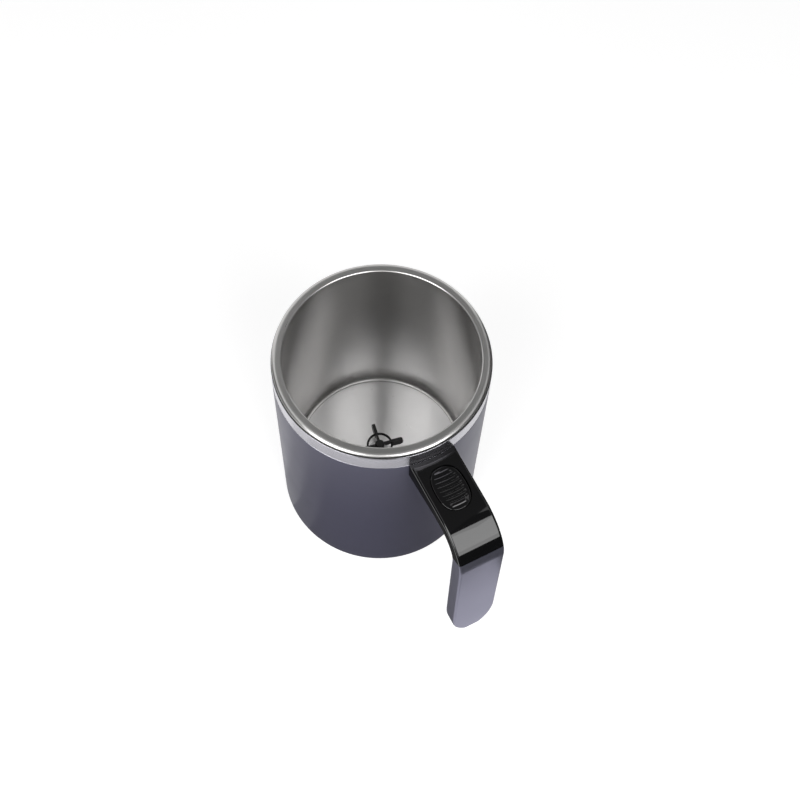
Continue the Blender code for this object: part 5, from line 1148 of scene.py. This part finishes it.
def make_stage():
    """A plain pale floor that is white where no shadow falls."""
    mesh = bpy.data.meshes.new("floor")
    half = FLOOR_SIZE / 2
    corners = [(-half, -half), (half, -half), (half, half), (-half, half)]
    mesh.from_pydata([(x, y, -FLOOR_DROP) for x, y in corners], [], [(0, 1, 2, 3)])
    floor = add_object("floor", mesh)
    material = bpy.data.materials.new("floor")
    tree = bare_tree(material)
    diffuse = tree.nodes.new("ShaderNodeBsdfDiffuse")
    diffuse.inputs["Color"].default_value = (FLOOR_PALE, FLOOR_PALE, FLOOR_PALE, 1)
    glow = tree.nodes.new("ShaderNodeEmission")
    total = tree.nodes.new("ShaderNodeAddShader")
    output = tree.nodes.new("ShaderNodeOutputMaterial")
    lift = tree.nodes.new("ShaderNodeMath")
    lift.operation = "MULTIPLY"
    lift.inputs[1].default_value = FLOOR_LIFT
    tree.links.new(seen_rays(tree), lift.inputs[0])
    tree.links.new(lift.outputs[0], glow.inputs["Strength"])
    tree.links.new(diffuse.outputs[0], total.inputs[0])
    tree.links.new(glow.outputs[0], total.inputs[1])
    tree.links.new(total.outputs[0], output.inputs["Surface"])
    mesh.materials.append(material)


def make_world():
    """A world that shows as white and gives a soft even fill."""
    world = bpy.data.worlds.new("studio")
    tree = bare_tree(world)
    mix = tree.nodes.new("ShaderNodeMixShader")
    output = tree.nodes.new("ShaderNodeOutputWorld")
    for index, strength in enumerate((WORLD_FILL, 1.0), 1):
        light = tree.nodes.new("ShaderNodeBackground")
        light.inputs["Color"].default_value = (1, 1, 1, 1)
        light.inputs["Strength"].default_value = strength
        tree.links.new(light.outputs[0], mix.inputs[index])
    tree.links.new(seen_rays(tree), mix.inputs[0])
    tree.links.new(mix.outputs[0], output.inputs["Surface"])
    bpy.context.scene.world = world


def looking(place, back, level):
    """A place that looks away from a direction, with its own Y axis as near as can be to another."""
    right = Vector(level).cross(back).normalized()
    turn = Matrix((right, back.cross(right), back)).transposed().to_4x4()
    return Matrix.Translation(place) @ turn


def across_camera(place):
    """The place or direction mirrored to the other side of the camera."""
    heading = Vector((math.cos(CAMERA_HEADING), math.sin(CAMERA_HEADING), 0))
    flat = Vector((place[0], place[1], 0))
    return 2 * heading.dot(flat) * heading - flat + Vector((0, 0, place[2]))


def make_lamp(name, place, level):
    """A soft box that looks at the mug, with the brightness of its face given."""
    light = bpy.data.lights.new(name, "AREA")
    light.shape = "RECTANGLE"
    light.size, light.size_y = BOX_SIZE
    light.energy = BOX_RADIANCE * BOX_SIZE[0] * BOX_SIZE[1] * math.pi
    back = (Vector(place) - AIM).normalized()
    add_object(name, light).matrix_world = looking(place, back, level)


def card_object(name, points, faces, glow):
    """A glowing sheet that only reflections see."""
    mesh = bpy.data.meshes.new(name)
    mesh.from_pydata(points, [], faces)
    item = add_object(name, mesh)
    item.visible_camera = False
    item.visible_diffuse = False
    item.visible_shadow = False
    material = bpy.data.materials.new(name)
    tree = bare_tree(material)
    shine = tree.nodes.new("ShaderNodeEmission")
    shine.inputs["Strength"].default_value = glow
    output = tree.nodes.new("ShaderNodeOutputMaterial")
    tree.links.new(shine.outputs[0], output.inputs["Surface"])
    mesh.materials.append(material)
    return item


def make_card(name, centre, size, heading, upright, glow):
    """A rectangular card, lying level or standing upright."""
    u, v = size[0] / 2, size[1] / 2
    corners = [(-u, -v, 0), (u, -v, 0), (u, v, 0), (-u, v, 0)]
    item = card_object(name, corners, [(0, 1, 2, 3)], glow)
    turn = Matrix.Rotation(heading, 4, "Z")
    if upright:
        turn = turn @ Matrix.Rotation(math.pi / 2, 4, "X")
    item.matrix_world = Matrix.Translation(centre) @ turn


def make_ring_card(name, start, end, glow):
    """A card in the shape of a part of a ring, on the floor round the mug's foot: painted shadow of the
    mug in reflections.
    """
    points = []
    turns = span(math.radians(start), math.radians(end), ARC_STEPS)
    for turn in turns:
        for radius in (RING_CARD_INNER, RING_CARD_OUTER):
            points.append((radius * math.cos(turn), radius * math.sin(turn), RING_CARD_LIFT))
    faces = [(2 * i, 2 * i + 1, 2 * i + 3, 2 * i + 2) for i in range(len(turns) - 1)]
    card_object(name, points, faces, glow)


def make_studio():
    """The soft boxes on both sides of the camera, and the cards that the gloss reflects."""
    make_lamp("right_box", BOX_PLACE, BOX_LEVEL)
    make_lamp("left_box", across_camera(BOX_PLACE), across_camera(BOX_LEVEL))
    for name, values in OVERHEAD_CARDS.items():
        make_card(name, *values)
    for name, values in RING_CARDS.items():
        make_ring_card(name, *values)
    for name, values in SIDE_CARDS.items():
        make_card(name, *values)


def make_camera():
    """The camera of the photograph."""
    data = bpy.data.cameras.new("camera")
    data.sensor_width = SENSOR_WIDTH
    data.lens = CAMERA_FOCAL_PIXELS / IMAGE_SIDE * SENSOR_WIDTH
    data.clip_start = CLIP_NEAR
    data.clip_end = CLIP_FAR
    camera = add_object("camera", data)
    camera.matrix_world = looking(CAMERA_PLACE, -CAMERA_FORWARD.normalized(), CAMERA_UP)
    bpy.context.scene.camera = camera


# Build

materials = make_materials()
for make_piece in (
        make_inner_cup, make_outer_shell, make_shaft_passage, make_stirrer, make_handle_frame,
        make_grip_sleeve, make_thumb_button, make_bottom_cover, make_pad):
    make_piece(materials)
finish_hidden_nodes(materials)
make_stage()
make_world()
make_camera()
make_studio()
bpy.context.scene.view_settings.view_transform = "Standard"
